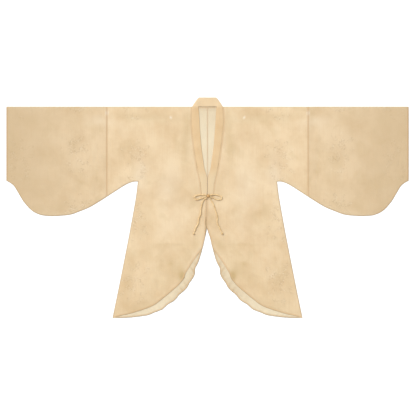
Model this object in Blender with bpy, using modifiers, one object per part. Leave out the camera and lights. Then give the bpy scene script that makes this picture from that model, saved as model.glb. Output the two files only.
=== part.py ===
"""Open-front jacket with lute-shaped sleeves, laid flat on its back.

Metres, +Z up. X runs along the sleeves, +Y towards the collar, and z = 0 is the
surface that the jacket lies on. Tables are in millimetres: "out" is the distance from
the centre line, "down" the distance below the shoulder line.
"""

import math

import bpy
import numpy as np

MM = 0.001

# Cloth, in millimetres
WALL = 1.0
LAYER_GAP = 0.8
TOP = 2 * WALL + LAYER_GAP
SEAM_GAP = 0.3
BAND_WALL = 2.0

# Size over all, in millimetres
CUFF_OUT = 1005.3
SLEEVE_SEAM_OUT = 503.0
ARMPIT_OUT, ARMPIT_DOWN = 347.5, 374.0
VENT_DOWN = 610.0
HEM_DOWN = 1056.5
COLLAR_RISE = 46.25
NECK_OUT = 76.0
SHOULDER_Y = (HEM_DOWN + COLLAR_RISE) / 2 - COLLAR_RISE

# Mesh density
UPPER_ROWS = 8
VENT_ROWS = 5
HEM_ROWS = 40
NECK_COLUMNS = 3
BODY_COLUMNS = 9
ARM_COLUMNS = 5
SLEEVE_COLUMNS = 21
FOLD_STEPS = 4
CURVE_POINTS = 400
SPAN_SAMPLES = 24

# Share of the side seam beside the rows that lie above the vent
SIDE_SHARE_AT_VENT = 0.26

# The front's edge above the vent, where the collar is sewn on: out, down
NECK_CUT = (
    (76.0, 0.0),
    (77.0, 27.0),
    (78.0, 92.0),
    (72.0, 155.0),
    (64.0, 217.0),
    (57.5, 262.0),
    (50.5, 307.0),
    (39.5, 352.0),
    (33.5, 382.0),
    (29.0, 420.0),
    (26.0, 452.0),
)
BAND_END_DOWN = 452.0

# The front's cut-away edge from the vent to the hem point: out, down
FRONT_HEM = (
    (0.15, 610.0),
    (6.0, 642.0),
    (14.5, 684.0),
    (21.0, 703.0),
    (35.0, 722.0),
    (65.0, 765.0),
    (102.5, 822.0),
    (157.5, 902.0),
    (225.0, 960.0),
    (281.0, 999.0),
    (385.0, 1034.0),
    (435.0, 1045.0),
    (462.0, 1053.0),
)

# The back's edge, which shows below the front's: out, down
BACK_HEM = (
    (0.15, 610.0),
    (6.0, 641.0),
    (15.5, 686.0),
    (28.0, 731.0),
    (43.5, 776.0),
    (60.5, 821.0),
    (83.0, 872.0),
    (110.0, 910.0),
    (145.0, 946.0),
    (187.5, 983.0),
    (232.5, 1014.0),
    (280.0, 1036.0),
    (350.0, 1050.0),
    (420.0, 1056.0),
    (455.0, 1056.5),
)

# Small waves along the back's edge: place along it, reach towards the floor, half width
HEM_WAVES = (
    (212.0, -3.0, 18.0),
    (247.0, 5.0, 20.0),
    (292.0, -2.5, 14.0),
    (330.0, 2.5, 16.0),
    (372.0, -2.5, 14.0),
    (408.0, 3.0, 16.0),
    (448.0, -2.0, 14.0),
    (486.0, 2.5, 16.0),
    (528.0, -2.0, 15.0),
    (572.0, 1.5, 16.0),
)

# Side seam from the armpit to the hem point: out, down
SIDE_SEAM = (
    (347.5, 374.0),
    (359.5, 466.0),
    (396.0, 666.5),
    (443.5, 906.5),
    (474.5, 1056.5),
)

# Underside of the sleeve from the armpit to the cuff: out, down
UNDERARM = (
    (347.5, 374.0),
    (372.0, 375.0),
    (407.0, 388.5),
    (467.0, 426.0),
    (527.0, 465.0),
    (587.0, 501.0),
    (637.0, 522.0),
    (687.0, 539.5),
    (747.0, 545.5),
    (777.0, 546.5),
    (807.0, 545.0),
    (837.0, 540.0),
    (877.0, 520.0),
    (917.0, 477.5),
    (947.0, 428.5),
    (967.0, 396.5),
    (987.0, 380.0),
    (1005.3, 370.0),
)

# Soft folds of the upper layer: out, down, half length, half width, turn in degrees, height
SOFT_FOLDS = (
    (150.0, 250.0, 150.0, 45.0, -62.0, 1.4),
    (120.0, 860.0, 90.0, 32.0, -48.0, 1.6),
    (250.0, 700.0, 260.0, 60.0, -80.0, 1.2),
    (330.0, 900.0, 150.0, 40.0, -76.0, 1.5),
    (330.0, 300.0, 110.0, 40.0, -40.0, 1.3),
    (500.0, 220.0, 120.0, 60.0, 10.0, 1.2),
    (760.0, 300.0, 120.0, 110.0, -30.0, 1.6),
    (880.0, 200.0, 90.0, 50.0, -70.0, 1.2),
)
FOLD_MARGIN = 40.0
FRONT_EDGE_MARGIN = 15.0

# Inner edge of the collar band down the front: down, distance from the centre line
BAND_INNER = (
    (0.0, 45.6),
    (27.0, 42.5),
    (92.0, 39.0),
    (155.0, 34.5),
    (217.0, 29.0),
    (262.0, 22.0),
    (307.0, 15.5),
    (330.0, 8.5),
    (352.0, 1.0),
    (358.0, 0.15),
    (452.0, 0.15),
)
BAND_REST = WALL + LAYER_GAP

# Collar band round the back of the neck: inner out, inner down, outer out, outer down, height
BAND_NECK = (
    (45.6, 1.0, 75.0, -3.0, 1.3),
    (45.0, -0.5, 66.0, -18.0, 1.1),
    (42.0, -0.5, 50.0, -40.0, 0.5),
    (36.0, -0.5, 43.0, -46.25, 0.0),
    (18.0, -0.5, 22.0, -46.25, 0.0),
)

# Ties
TIE_DIAMETER = 6.0
TIE_REST = TOP + SEAM_GAP + TIE_DIAMETER / 2
KNOT_SIZE = (16.0, 13.0, 9.0)
KNOT_AT = (3.5, 446.0)
END_KNOT_SIZE = (11.0, 10.0, 9.0)
TIE_STEP = 14.0

# Routes of the ties: x, down, lift above the cloth. x counts to the right
LOOP_RIGHT = (
    (13.2, 442.5, 2.6),
    (33.0, 439.0, 0.4),
    (53.0, 442.0, 0.0),
    (68.0, 449.0, 0.0),
    (71.5, 456.5, 0.0),
    (65.5, 464.0, 0.0),
    (48.0, 464.0, 0.0),
    (31.0, 456.5, 0.4),
    (13.2, 450.5, 2.6),
)
LOOP_LEFT = (
    (-6.2, 442.5, 2.6),
    (-20.0, 441.5, 0.8),
    (-37.0, 441.0, 0.0),
    (-56.0, 444.5, 0.0),
    (-66.5, 453.5, 0.0),
    (-61.5, 463.0, 0.0),
    (-52.0, 465.0, 0.0),
    (-36.0, 460.0, 0.0),
    (-20.0, 454.0, 0.8),
    (-6.2, 450.5, 2.6),
)
TAIL_RIGHT = (
    (8.6, 455.2, 1.6),
    (18.0, 467.0, 0.2),
    (33.0, 497.0, 0.0),
    (43.0, 531.0, 0.0),
    (49.0, 552.0, 0.0),
    (48.5, 581.0, 0.0),
    (58.0, 602.0, 0.0),
    (69.0, 625.0, 0.0),
)
TAIL_LEFT = (
    (-2.4, 455.2, 1.6),
    (-20.0, 467.0, 0.2),
    (-31.0, 501.0, 0.0),
    (-36.0, 541.0, 0.0),
    (-43.5, 559.0, 0.0),
    (-47.0, 584.0, 0.0),
    (-57.0, 602.0, 0.0),
    (-66.0, 625.0, 0.0),
)
END_KNOT_RIGHT = (72.8, 632.6)
END_KNOT_LEFT = (-69.4, 632.8)


def clear_scene():
    """Remove every object that the startup file holds."""
    for thing in list(bpy.data.objects):
        bpy.data.objects.remove(thing, do_unlink=True)


def smooth(points, count=CURVE_POINTS):
    """Catmull-Rom curve through the points, resampled at equal steps of length."""
    knots = np.array(points, float)
    padded = np.vstack([2 * knots[0] - knots[1], knots, 2 * knots[-1] - knots[-2]])
    pieces = []
    for a, b, c, d in zip(padded, padded[1:], padded[2:], padded[3:]):
        t = np.linspace(0, 1, SPAN_SAMPLES, endpoint=False)[:, None]
        pieces.append(
            0.5 * (2 * b + (c - a) * t + (2 * a - 5 * b + 4 * c - d) * t**2
                   + (3 * b - a - 3 * c + d) * t**3)
        )
    dense = np.vstack([*pieces, knots[-1:]])
    along = np.concatenate([[0], np.cumsum(np.linalg.norm(np.diff(dense, axis=0), axis=1))])
    places = np.linspace(0, along[-1], count)
    return np.column_stack([np.interp(places, along, dense[:, k]) for k in range(dense.shape[1])])


def at_share(curve, share):
    """The point of an evenly sampled curve at this share of its length."""
    places = np.linspace(0, 1, len(curve))
    return np.array([np.interp(share, places, curve[:, k]) for k in range(curve.shape[1])])


def waved(curve):
    """The back's hem with its small waves, each moved square to the edge."""
    steps = np.gradient(curve, axis=0)
    steps /= np.linalg.norm(steps, axis=1)[:, None]
    along = np.concatenate([[0], np.cumsum(np.linalg.norm(np.diff(curve, axis=0), axis=1))])
    push = np.zeros(len(curve))
    for place, reach, half_width in HEM_WAVES:
        push += reach * np.exp(-(((along - place) / half_width) ** 2))
    normal = np.column_stack([-steps[:, 1], steps[:, 0]])
    return curve + normal * push[:, None]


def relief(out, down, margin):
    """Height of the upper layer's soft folds at a point, fading to nothing at the edges."""
    height = 0.0
    for fold_out, fold_down, half_length, half_width, turn, lift in SOFT_FOLDS:
        angle = math.radians(turn)
        right, up = out - fold_out, fold_down - down
        along = (right * math.cos(angle) + up * math.sin(angle)) / half_length
        across = (up * math.cos(angle) - right * math.sin(angle)) / half_width
        height += lift * math.exp(-(along**2) - across**2)
    fade = min(1.0, margin / FOLD_MARGIN)
    return height * fade * fade * (3 - 2 * fade)


class Sheet:
    """A skin of shared points, given by out, down and height in millimetres."""

    def __init__(self):
        self.points = []
        self.faces = []
        self.known = {}

    def point(self, out, down, height):
        """Index of a point, made once."""
        key = (round(out, 3), round(down, 3), round(height, 3))
        if key not in self.known:
            self.known[key] = len(self.points)
            self.points.append((out, down, height))
        return self.known[key]

    def grid(self, rows):
        """Faces between rows of point numbers of equal length."""
        for low, high in zip(rows, rows[1:]):
            for a, b, c, d in zip(low, low[1:], high[1:], high):
                corners = [n for n, m in zip((a, b, c, d), (d, a, b, c)) if n != m]
                if len(set(corners)) == len(corners) > 2:
                    self.faces.append(corners)

    def node(self, name, side, finish, wall, collection):
        """The skin as a closed wall that grows inwards. side is 1 or -1."""
        mesh = bpy.data.meshes.new(name)
        coordinates = [
            (side * out * MM, (SHOULDER_Y - down) * MM, height * MM)
            for out, down, height in self.points
        ]
        faces = [face if side > 0 else face[::-1] for face in self.faces]
        mesh.from_pydata(coordinates, [], faces)
        mesh.materials.append(finish)
        thing = bpy.data.objects.new(name, mesh)
        collection.objects.link(thing)
        shell = thing.modifiers.new("wall", "SOLIDIFY")
        shell.thickness = wall * MM
        shell.offset = -1.0
        shell.use_even_offset = True
        return thing


def bend(out, down, towards):
    """Points of a half-round turn from the lower to the upper layer, pushed out that way."""
    radius = TOP / 2
    turns = [math.pi * step / FOLD_STEPS for step in range(1, FOLD_STEPS)]
    return [
        (
            out + towards[0] * radius * math.sin(turn),
            down + towards[1] * radius * math.sin(turn),
            radius - radius * math.cos(turn),
        )
        for turn in turns
    ]


def join_layers(sheet, lower, upper, places, pushes):
    """Close two layers along an edge with a half-round turn of cloth."""
    rows = [lower]
    bends = [bend(*place, push) for place, push in zip(places, pushes)]
    for step in range(FOLD_STEPS - 1):
        rows.append([sheet.point(*points[step]) for points in bends])
    rows.append(upper)
    sheet.grid(rows)


def outward(places):
    """Unit directions square to a chain of places, to the left of its direction."""
    chain = np.array(places, float)
    steps = np.gradient(chain, axis=0)
    steps /= np.linalg.norm(steps, axis=1)[:, None]
    return np.column_stack([steps[:, 1], -steps[:, 0]])


def edge_margin(out, down):
    """Rough distance of a point inside the garment from the nearest edge."""
    side = np.array(SIDE_SEAM)
    under = np.array(UNDERARM)
    front = np.array(NECK_CUT + FRONT_HEM)
    found = [down, CUFF_OUT - out]
    found.append(np.min(np.hypot(front[:, 0] - out, front[:, 1] - down)) - FRONT_EDGE_MARGIN)
    if down > ARMPIT_DOWN and out < SLEEVE_SEAM_OUT:
        found.append(abs(np.interp(down, side[:, 1], side[:, 0]) - out))
    if out > ARMPIT_OUT:
        found.append(np.interp(out, under[:, 0], under[:, 1]) - down)
    return max(0.0, min(found))


def body_rows():
    """Ends of the body's rows: on the back's edge, on the front's edge and at the side."""
    neck = smooth(NECK_CUT)
    side = smooth(SIDE_SEAM)
    hems = {"front": smooth(FRONT_HEM), "back": waved(smooth(BACK_HEM))}
    centre = SEAM_GAP / 2
    rows = []
    for row in range(UPPER_ROWS + 1):
        down = ARMPIT_DOWN * row / UPPER_ROWS
        front = np.interp(down, neck[:, 1], neck[:, 0])
        rows.append(((centre, down), (front, down), (ARMPIT_OUT, down)))
    lower = VENT_ROWS + HEM_ROWS
    vent_length = VENT_DOWN - ARMPIT_DOWN
    for row in range(1, lower + 1):
        if row <= VENT_ROWS:
            down = ARMPIT_DOWN + vent_length * row / VENT_ROWS
            open_edge = np.interp(down, neck[:, 1], neck[:, 0]) if down < BAND_END_DOWN else centre
            back, front = (centre, down), (open_edge, down)
            share = row / VENT_ROWS * SIDE_SHARE_AT_VENT
        else:
            place = (row - VENT_ROWS) / HEM_ROWS
            back, front = (tuple(at_share(hems[key], place)) for key in ("back", "front"))
            share = SIDE_SHARE_AT_VENT + place * (1 - SIDE_SHARE_AT_VENT)
        rows.append((back, front, tuple(at_share(side, share))))
    return rows


def underarm_down(out):
    """Depth of the sleeve below the shoulder line at this distance from the centre."""
    curve = smooth(UNDERARM)
    return float(np.interp(out, curve[:, 0], curve[:, 1]))


def upper_point(sheet, out, down):
    """A point of the upper layer, with the soft folds."""
    return sheet.point(out, down, TOP + relief(out, down, edge_margin(out, down)))


def build_body(name, side, finish, collection):
    """Half of the body: back and front in one length over the shoulder, with the upper arm."""
    sheet = Sheet()
    rows = body_rows()
    neck_share = (NECK_OUT - SEAM_GAP / 2) / (ARMPIT_OUT - SEAM_GAP / 2)
    shares = [neck_share * c / NECK_COLUMNS for c in range(NECK_COLUMNS)]
    shares += [
        neck_share + (1 - neck_share) * c / BODY_COLUMNS for c in range(BODY_COLUMNS + 1)
    ]
    lower, upper = [], []
    for back, front, seam in rows:
        back, front, seam = np.array(back), np.array(front), np.array(seam)
        lower.append([sheet.point(*(back + (seam - back) * s), 0.0) for s in shares])
        own = [(s - neck_share) / (1 - neck_share) for s in shares[NECK_COLUMNS:]]
        upper.append([upper_point(sheet, *(front + (seam - front) * s)) for s in own])
    sheet.grid(lower)
    sheet.grid(upper[::-1])
    end = SLEEVE_SEAM_OUT - SEAM_GAP / 2
    outs = np.linspace(ARMPIT_OUT, end, ARM_COLUMNS + 1)
    depths = [ARMPIT_DOWN] + [underarm_down(out) for out in outs[1:]]
    arm_lower, arm_upper = [], []
    for row in range(UPPER_ROWS + 1):
        downs = [depth * row / UPPER_ROWS for depth in depths]
        arm_lower.append([sheet.point(o, d, 0.0) for o, d in zip(outs, downs)])
        arm_upper.append([upper_point(sheet, o, d) for o, d in zip(outs, downs)])
    sheet.grid(arm_lower)
    sheet.grid(arm_upper[::-1])
    top_lower = lower[0][NECK_COLUMNS:] + arm_lower[0][1:]
    top_upper = upper[0] + arm_upper[0][1:]
    top_places = [sheet.points[n][:2] for n in top_lower]
    join_layers(sheet, top_lower[::-1], top_upper[::-1], top_places[::-1], [(0, -1)] * len(top_places))
    seam_lower = [row[-1] for row in lower[UPPER_ROWS:]][::-1] + arm_lower[-1][1:]
    seam_upper = [row[-1] for row in upper[UPPER_ROWS:]][::-1] + arm_upper[-1][1:]
    seam_places = [sheet.points[n][:2] for n in seam_lower]
    join_layers(sheet, seam_lower, seam_upper, seam_places, -outward(seam_places))
    return sheet.node(name, side, finish, WALL, collection)


def build_sleeve(name, side, finish, collection):
    """Lute-shaped sleeve: one flattened tube, open at the seam and at the cuff."""
    sheet = Sheet()
    outs = np.linspace(SLEEVE_SEAM_OUT + SEAM_GAP / 2, CUFF_OUT, SLEEVE_COLUMNS + 1)
    depths = [underarm_down(out) for out in outs]
    lower, upper = [], []
    for row in range(UPPER_ROWS + 1):
        downs = [depth * row / UPPER_ROWS for depth in depths]
        lower.append([sheet.point(o, d, 0.0) for o, d in zip(outs, downs)])
        upper.append([upper_point(sheet, o, d) for o, d in zip(outs, downs)])
    sheet.grid(lower)
    sheet.grid(upper[::-1])
    top = [(out, 0.0) for out in outs]
    join_layers(sheet, lower[0][::-1], upper[0][::-1], top[::-1], [(0, -1)] * len(top))
    bottom = list(zip(outs, depths))
    join_layers(sheet, lower[-1], upper[-1], bottom, -outward(bottom))
    return sheet.node(name, side, finish, WALL, collection)


def band_sections():
    """Inner and outer points of the collar band with the height of its underside, right half."""
    chain = np.array([front for back, front, seam in body_rows()][: UPPER_ROWS + 3])
    inner = np.array(BAND_INNER)
    downs = [BAND_END_DOWN, *(down for down in chain[::-1, 1] if down < BAND_END_DOWN)]
    sections = []
    for down in downs:
        outer_out = np.interp(down, chain[:, 1], chain[:, 0]) - SEAM_GAP
        inner_out = np.interp(down, inner[:, 0], inner[:, 1])
        if down > 0:
            sections.append(((inner_out, down), (outer_out, down), BAND_REST))
    for inner_out, inner_down, outer_out, outer_down, height in BAND_NECK:
        sections.append(((inner_out, inner_down), (outer_out, outer_down), height))
    return sections


def build_collar(name, finish, collection):
    """One band down both fronts and round the back of the neck, as rings of four points."""
    right = band_sections()
    mirrored = [((-a[0], a[1]), (-b[0], b[1]), height) for a, b, height in right[::-1]]
    middle = [((0.0, -0.5), (0.0, -COLLAR_RISE), 0.0)]
    points, faces = [], []
    for inner, outer, height in right + middle + mirrored:
        ring = ((inner, 0.0), (outer, 0.0), (outer, BAND_WALL), (inner, BAND_WALL))
        for (x, down), level in ring:
            points.append((x * MM, (SHOULDER_Y - down) * MM, (height + level) * MM))
    rings = len(points) // 4
    for ring in range(rings - 1):
        for corner in range(4):
            after = (corner + 1) % 4
            start, end = 4 * ring, 4 * ring + 4
            faces.append((start + corner, end + corner, end + after, start + after))
    last = 4 * (rings - 1)
    faces += [(0, 1, 2, 3), (last + 3, last + 2, last + 1, last)]
    mesh = bpy.data.meshes.new(name)
    mesh.from_pydata(points, [], faces)
    mesh.materials.append(finish)
    thing = bpy.data.objects.new(name, mesh)
    collection.objects.link(thing)
    return thing


def build_tie(name, route, finish, collection):
    """A plain tube along one stretch of a tie."""
    knots = [(x, down, TIE_REST + lift) for x, down, lift in route]
    length = np.linalg.norm(np.diff(np.array(knots), axis=0), axis=1).sum()
    count = max(6, round(length / TIE_STEP) + 1)
    data = bpy.data.curves.new(name, "CURVE")
    data.dimensions = "3D"
    data.bevel_depth = TIE_DIAMETER / 2 * MM
    data.bevel_resolution = 2
    data.use_fill_caps = True
    spline = data.splines.new("POLY")
    spline.points.add(count - 1)
    for place, (x, down, height) in zip(spline.points, smooth(knots, count)):
        place.co = (x * MM, (SHOULDER_Y - down) * MM, height * MM, 1.0)
    data.materials.append(finish)
    thing = bpy.data.objects.new(name, data)
    collection.objects.link(thing)
    return thing


def build_knot(name, place, size, rest, finish, collection):
    """A small rounded knot whose underside is at this height."""
    bpy.ops.mesh.primitive_uv_sphere_add(segments=16, ring_count=10, radius=0.5)
    thing = bpy.context.object
    thing.name = name
    thing.data.name = name
    thing.scale = [length * MM for length in size]
    bpy.ops.object.transform_apply(location=False, rotation=False, scale=True)
    x, down = place
    centre = (x * MM, (SHOULDER_Y - down) * MM, (rest + size[2] / 2) * MM)
    for corner in thing.data.vertices:
        corner.co = [value + move for value, move in zip(corner.co, centre)]
    thing.data.materials.append(finish)
    for holder in list(thing.users_collection):
        holder.objects.unlink(thing)
    collection.objects.link(thing)
    return thing


def make_finish(name, colour, roughness):
    """A plain cloth material."""
    finish = bpy.data.materials.new(name)
    finish.use_nodes = True
    shader = finish.node_tree.nodes["Principled BSDF"]
    shader.inputs["Base Color"].default_value = (*colour, 1.0)
    shader.inputs["Roughness"].default_value = roughness
    shader.inputs["Metallic"].default_value = 0.0
    return finish


def main():
    """Build every piece of the jacket."""
    clear_scene()
    collection = bpy.data.collections.new("ming_style_jacket")
    bpy.context.scene.collection.children.link(collection)
    body = make_finish("body_silk", (0.85, 0.66, 0.43), 0.6)
    sleeve = make_finish("sleeve_silk", (0.78, 0.60, 0.37), 0.6)
    band = make_finish("collar_silk", (0.83, 0.62, 0.37), 0.6)
    cord = make_finish("tie_silk", (0.62, 0.43, 0.20), 0.6)
    for label, side in (("right", 1), ("left", -1)):
        build_body(f"body_{label}", side, body, collection)
        build_sleeve(f"sleeve_{label}", side, sleeve, collection)
    build_collar("collar", band, collection)
    build_tie("tie_loop_right", LOOP_RIGHT, cord, collection)
    build_tie("tie_loop_left", LOOP_LEFT, cord, collection)
    build_tie("tie_tail_right", TAIL_RIGHT, cord, collection)
    build_tie("tie_tail_left", TAIL_LEFT, cord, collection)
    on_collar = BAND_REST + BAND_WALL + SEAM_GAP
    on_front = TOP + SEAM_GAP
    build_knot("bow_knot", KNOT_AT, KNOT_SIZE, on_collar, cord, collection)
    build_knot("end_knot_right", END_KNOT_RIGHT, END_KNOT_SIZE, on_front, cord, collection)
    build_knot("end_knot_left", END_KNOT_LEFT, END_KNOT_SIZE, on_front, cord, collection)


if __name__ == "__main__":
    main()
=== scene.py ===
"""Looks of the open-front jacket with lute-shaped sleeves, laid flat.

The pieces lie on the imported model: x runs along the sleeves, y towards the collar and z
out of the surface. Sizes of the cut are in millimetres, measured "out" from the centre
line and "down" from the shoulder line, and become metres where a mesh is made.
"""

import logging
import math
from dataclasses import dataclass, field
from enum import Enum

import bmesh
import bpy
import numpy as np
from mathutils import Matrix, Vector, noise


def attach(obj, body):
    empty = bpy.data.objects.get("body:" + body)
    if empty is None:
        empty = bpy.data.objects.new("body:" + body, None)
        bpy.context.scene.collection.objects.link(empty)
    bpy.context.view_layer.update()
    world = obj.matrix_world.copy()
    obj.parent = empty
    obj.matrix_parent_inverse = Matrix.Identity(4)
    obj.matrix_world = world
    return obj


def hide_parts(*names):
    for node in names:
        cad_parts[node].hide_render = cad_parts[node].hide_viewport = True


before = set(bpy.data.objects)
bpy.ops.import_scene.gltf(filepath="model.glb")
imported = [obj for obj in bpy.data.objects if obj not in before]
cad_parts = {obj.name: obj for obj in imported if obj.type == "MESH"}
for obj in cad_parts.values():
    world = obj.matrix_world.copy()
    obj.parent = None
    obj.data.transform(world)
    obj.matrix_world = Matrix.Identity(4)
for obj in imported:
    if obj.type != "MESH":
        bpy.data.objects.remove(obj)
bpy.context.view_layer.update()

MM = 0.001
LOG = logging.getLogger("jacket")

Points = list[tuple[float, ...]]


def linear(code: str) -> tuple[float, float, float, float]:
    """Turn an sRGB hex value into linear colour.

    Args:
        code: Six hex digits, with or without a leading mark.

    Returns:
        Red, green, blue and alpha, linear.
    """
    digits = code.lstrip("#")
    values = [int(digits[place:place + 2], 16) / 255 for place in (0, 2, 4)]
    straight = [v / 12.92 if v <= 0.04045 else ((v + 0.055) / 1.055) ** 2.4 for v in values]
    return (*straight, 1.0)


def smooth(points: Points, count: int = 500, spans: int = 24) -> np.ndarray:
    """Sample a Catmull-Rom curve at equal steps of its length.

    Args:
        points: Places that the curve passes through.
        count: Number of samples.
        spans: Samples taken in each stretch before the equal ones are read off.

    Returns:
        One row for each sample.
    """
    knots = np.array(points, float)
    padded = np.vstack([2 * knots[0] - knots[1], knots, 2 * knots[-1] - knots[-2]])
    pieces = []
    for a, b, c, d in zip(padded, padded[1:], padded[2:], padded[3:]):
        t = np.linspace(0, 1, spans, endpoint=False)[:, None]
        pieces.append(
            0.5 * (2 * b + (c - a) * t + (2 * a - 5 * b + 4 * c - d) * t**2
                   + (3 * b - a - 3 * c + d) * t**3)
        )
    dense = np.vstack([*pieces, knots[-1:]])
    along = np.concatenate([[0], np.cumsum(np.linalg.norm(np.diff(dense, axis=0), axis=1))])
    places = np.linspace(0, along[-1], count)
    return np.column_stack([np.interp(places, along, dense[:, k]) for k in range(dense.shape[1])])


def at_share(curve: np.ndarray, share: float) -> np.ndarray:
    """The point of an evenly sampled curve at this share of its length."""
    places = np.linspace(0, 1, len(curve))
    return np.array([np.interp(share, places, curve[:, k]) for k in range(curve.shape[1])])


def arc_lengths(curve: np.ndarray) -> np.ndarray:
    """Length along a curve up to each of its samples."""
    return np.concatenate([[0], np.cumsum(np.linalg.norm(np.diff(curve, axis=0), axis=1))])


def unit_steps(curve: np.ndarray) -> np.ndarray:
    """Unit direction of a curve at each of its samples."""
    steps = np.gradient(curve, axis=0)
    return steps / np.linalg.norm(steps, axis=1)[:, None]


def distance_to(curve: np.ndarray, places: np.ndarray) -> np.ndarray:
    """Distance of each place from the nearest sample of a curve.

    Args:
        curve: Samples of the curve, out and down.
        places: Places to measure from, out and down.

    Returns:
        One distance for each place, in the same unit.
    """
    found = np.full(len(places), np.inf)
    for start in range(0, len(places), 2000):
        block = places[start:start + 2000, None, :] - curve[None, :, :]
        found[start:start + 2000] = np.sqrt((block**2).sum(2).min(1))
    return found


def soft_step(values: np.ndarray, low: float, high: float) -> np.ndarray:
    """Smooth rise from 0 at low to 1 at high."""
    share = np.clip((values - low) / (high - low), 0, 1)
    return share * share * (3 - 2 * share)


class Layer(Enum):
    """Which of the two layers of cloth a point is in."""

    BACK = "back"
    FRONT = "front"


@dataclass(frozen=True)
class Crease:
    """One soft ridge or, with a height below zero, one soft trough."""

    out: float
    down: float
    half_length: float
    half_width: float
    turn: float
    height: float

    def at(self, places: np.ndarray) -> np.ndarray:
        """Height that this crease adds at each place."""
        angle = math.radians(self.turn)
        right, up = places[:, 0] - self.out, self.down - places[:, 1]
        along = (right * math.cos(angle) + up * math.sin(angle)) / self.half_length
        across = (up * math.cos(angle) - right * math.sin(angle)) / self.half_width
        return self.height * np.exp(-(along**2) - across**2)


@dataclass(frozen=True)
class Cut:
    """Outline of half of the jacket, all in millimetres."""

    cuff_out: float = 1005.3
    sleeve_seam_out: float = 503.0
    armpit_out: float = 347.5
    armpit_down: float = 374.0
    vent_down: float = 602.0
    hem_down: float = 1056.5
    collar_rise: float = 46.25
    neck_out: float = 76.0
    band_end_down: float = 452.0
    half_gap: float = 0.35
    neck: tuple = (
        (76.0, 0.0), (77.0, 27.0), (78.0, 92.0), (72.0, 155.0), (64.0, 217.0), (57.5, 262.0),
        (50.5, 307.0), (39.5, 352.0), (33.5, 382.0), (29.0, 420.0), (26.0, 452.0),
    )
    front_hem: tuple = (
        (0.35, 602.0), (4.2, 617.0), (9.2, 641.0), (16.0, 668.0), (24.0, 702.0),
        (37.0, 724.0), (67.0, 766.0), (99.0, 816.0), (111.0, 836.0), (117.0, 856.0),
        (131.0, 876.0), (157.5, 904.0), (225.0, 960.0), (281.0, 999.0), (385.0, 1034.0),
        (435.0, 1045.0), (462.0, 1053.0),
    )
    back_hem: tuple = (
        (0.35, 602.0), (4.2, 617.0), (9.2, 641.0), (16.0, 667.0), (27.5, 716.0), (42.0, 766.0),
        (61.5, 816.0), (79.0, 866.0), (94.5, 891.0), (115.5, 916.0), (141.0, 943.0),
        (187.5, 983.0), (232.5, 1014.0),
        (280.0, 1036.0), (350.0, 1050.0), (420.0, 1056.0), (455.0, 1056.5),
    )
    hem_waves: tuple = (
        (212.0, -3.0, 18.0), (247.0, 5.0, 20.0), (292.0, -2.5, 14.0), (330.0, 2.5, 16.0),
        (372.0, -2.5, 14.0), (408.0, 3.0, 16.0), (448.0, -2.0, 14.0), (486.0, 2.5, 16.0),
        (528.0, -2.0, 15.0), (572.0, 1.5, 16.0),
    )
    side_seam: tuple = (
        (347.5, 374.0), (359.5, 466.0), (396.0, 666.5), (443.5, 906.5), (474.5, 1056.5),
    )
    underarm: tuple = (
        (347.5, 374.0), (372.0, 375.0), (407.0, 388.5), (467.0, 426.0), (527.0, 465.0),
        (587.0, 501.0), (637.0, 522.0), (687.0, 539.5), (747.0, 545.5), (777.0, 546.5),
        (807.0, 545.0), (837.0, 540.0), (877.0, 520.0), (917.0, 477.5), (947.0, 428.5),
        (967.0, 396.5), (987.0, 380.0), (1005.3, 370.0),
    )

    @property
    def shoulder_y(self) -> float:
        """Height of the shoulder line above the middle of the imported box, in millimetres."""
        return (self.hem_down + self.collar_rise) / 2 - self.collar_rise

    def waved_back_hem(self) -> np.ndarray:
        """The back's edge with its small waves, each moved square to the edge."""
        curve = smooth(self.back_hem)
        along, steps = arc_lengths(curve), unit_steps(curve)
        push = sum(
            reach * np.exp(-(((along - place) / half_width) ** 2))
            for place, reach, half_width in self.hem_waves
        )
        return curve + np.column_stack([-steps[:, 1], steps[:, 0]]) * push[:, None]

    def neck_out_at(self, down: float) -> float:
        """Distance of the front's neck cut from the centre line at this depth."""
        if down >= self.band_end_down:
            return self.half_gap
        curve = smooth(self.neck)
        return float(np.interp(down, curve[:, 1], curve[:, 0]))

    def underarm_down(self, outs: np.ndarray) -> np.ndarray:
        """Depth of the sleeve at these distances from the centre line."""
        curve = smooth(self.underarm)
        return np.interp(outs, curve[:, 0], curve[:, 1])


CUT = Cut()

# Large folds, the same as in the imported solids
SOFT_FOLDS = (
    Crease(150.0, 250.0, 150.0, 45.0, -62.0, 1.4),
    Crease(120.0, 860.0, 90.0, 32.0, -48.0, 1.6),
    Crease(250.0, 700.0, 260.0, 60.0, -80.0, 1.2),
    Crease(330.0, 900.0, 150.0, 40.0, -76.0, 1.5),
    Crease(330.0, 300.0, 110.0, 40.0, -40.0, 1.3),
    Crease(500.0, 220.0, 120.0, 60.0, 10.0, 1.2),
    Crease(760.0, 300.0, 120.0, 110.0, -30.0, 1.6),
    Crease(880.0, 200.0, 90.0, 50.0, -70.0, 1.2),
)

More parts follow.
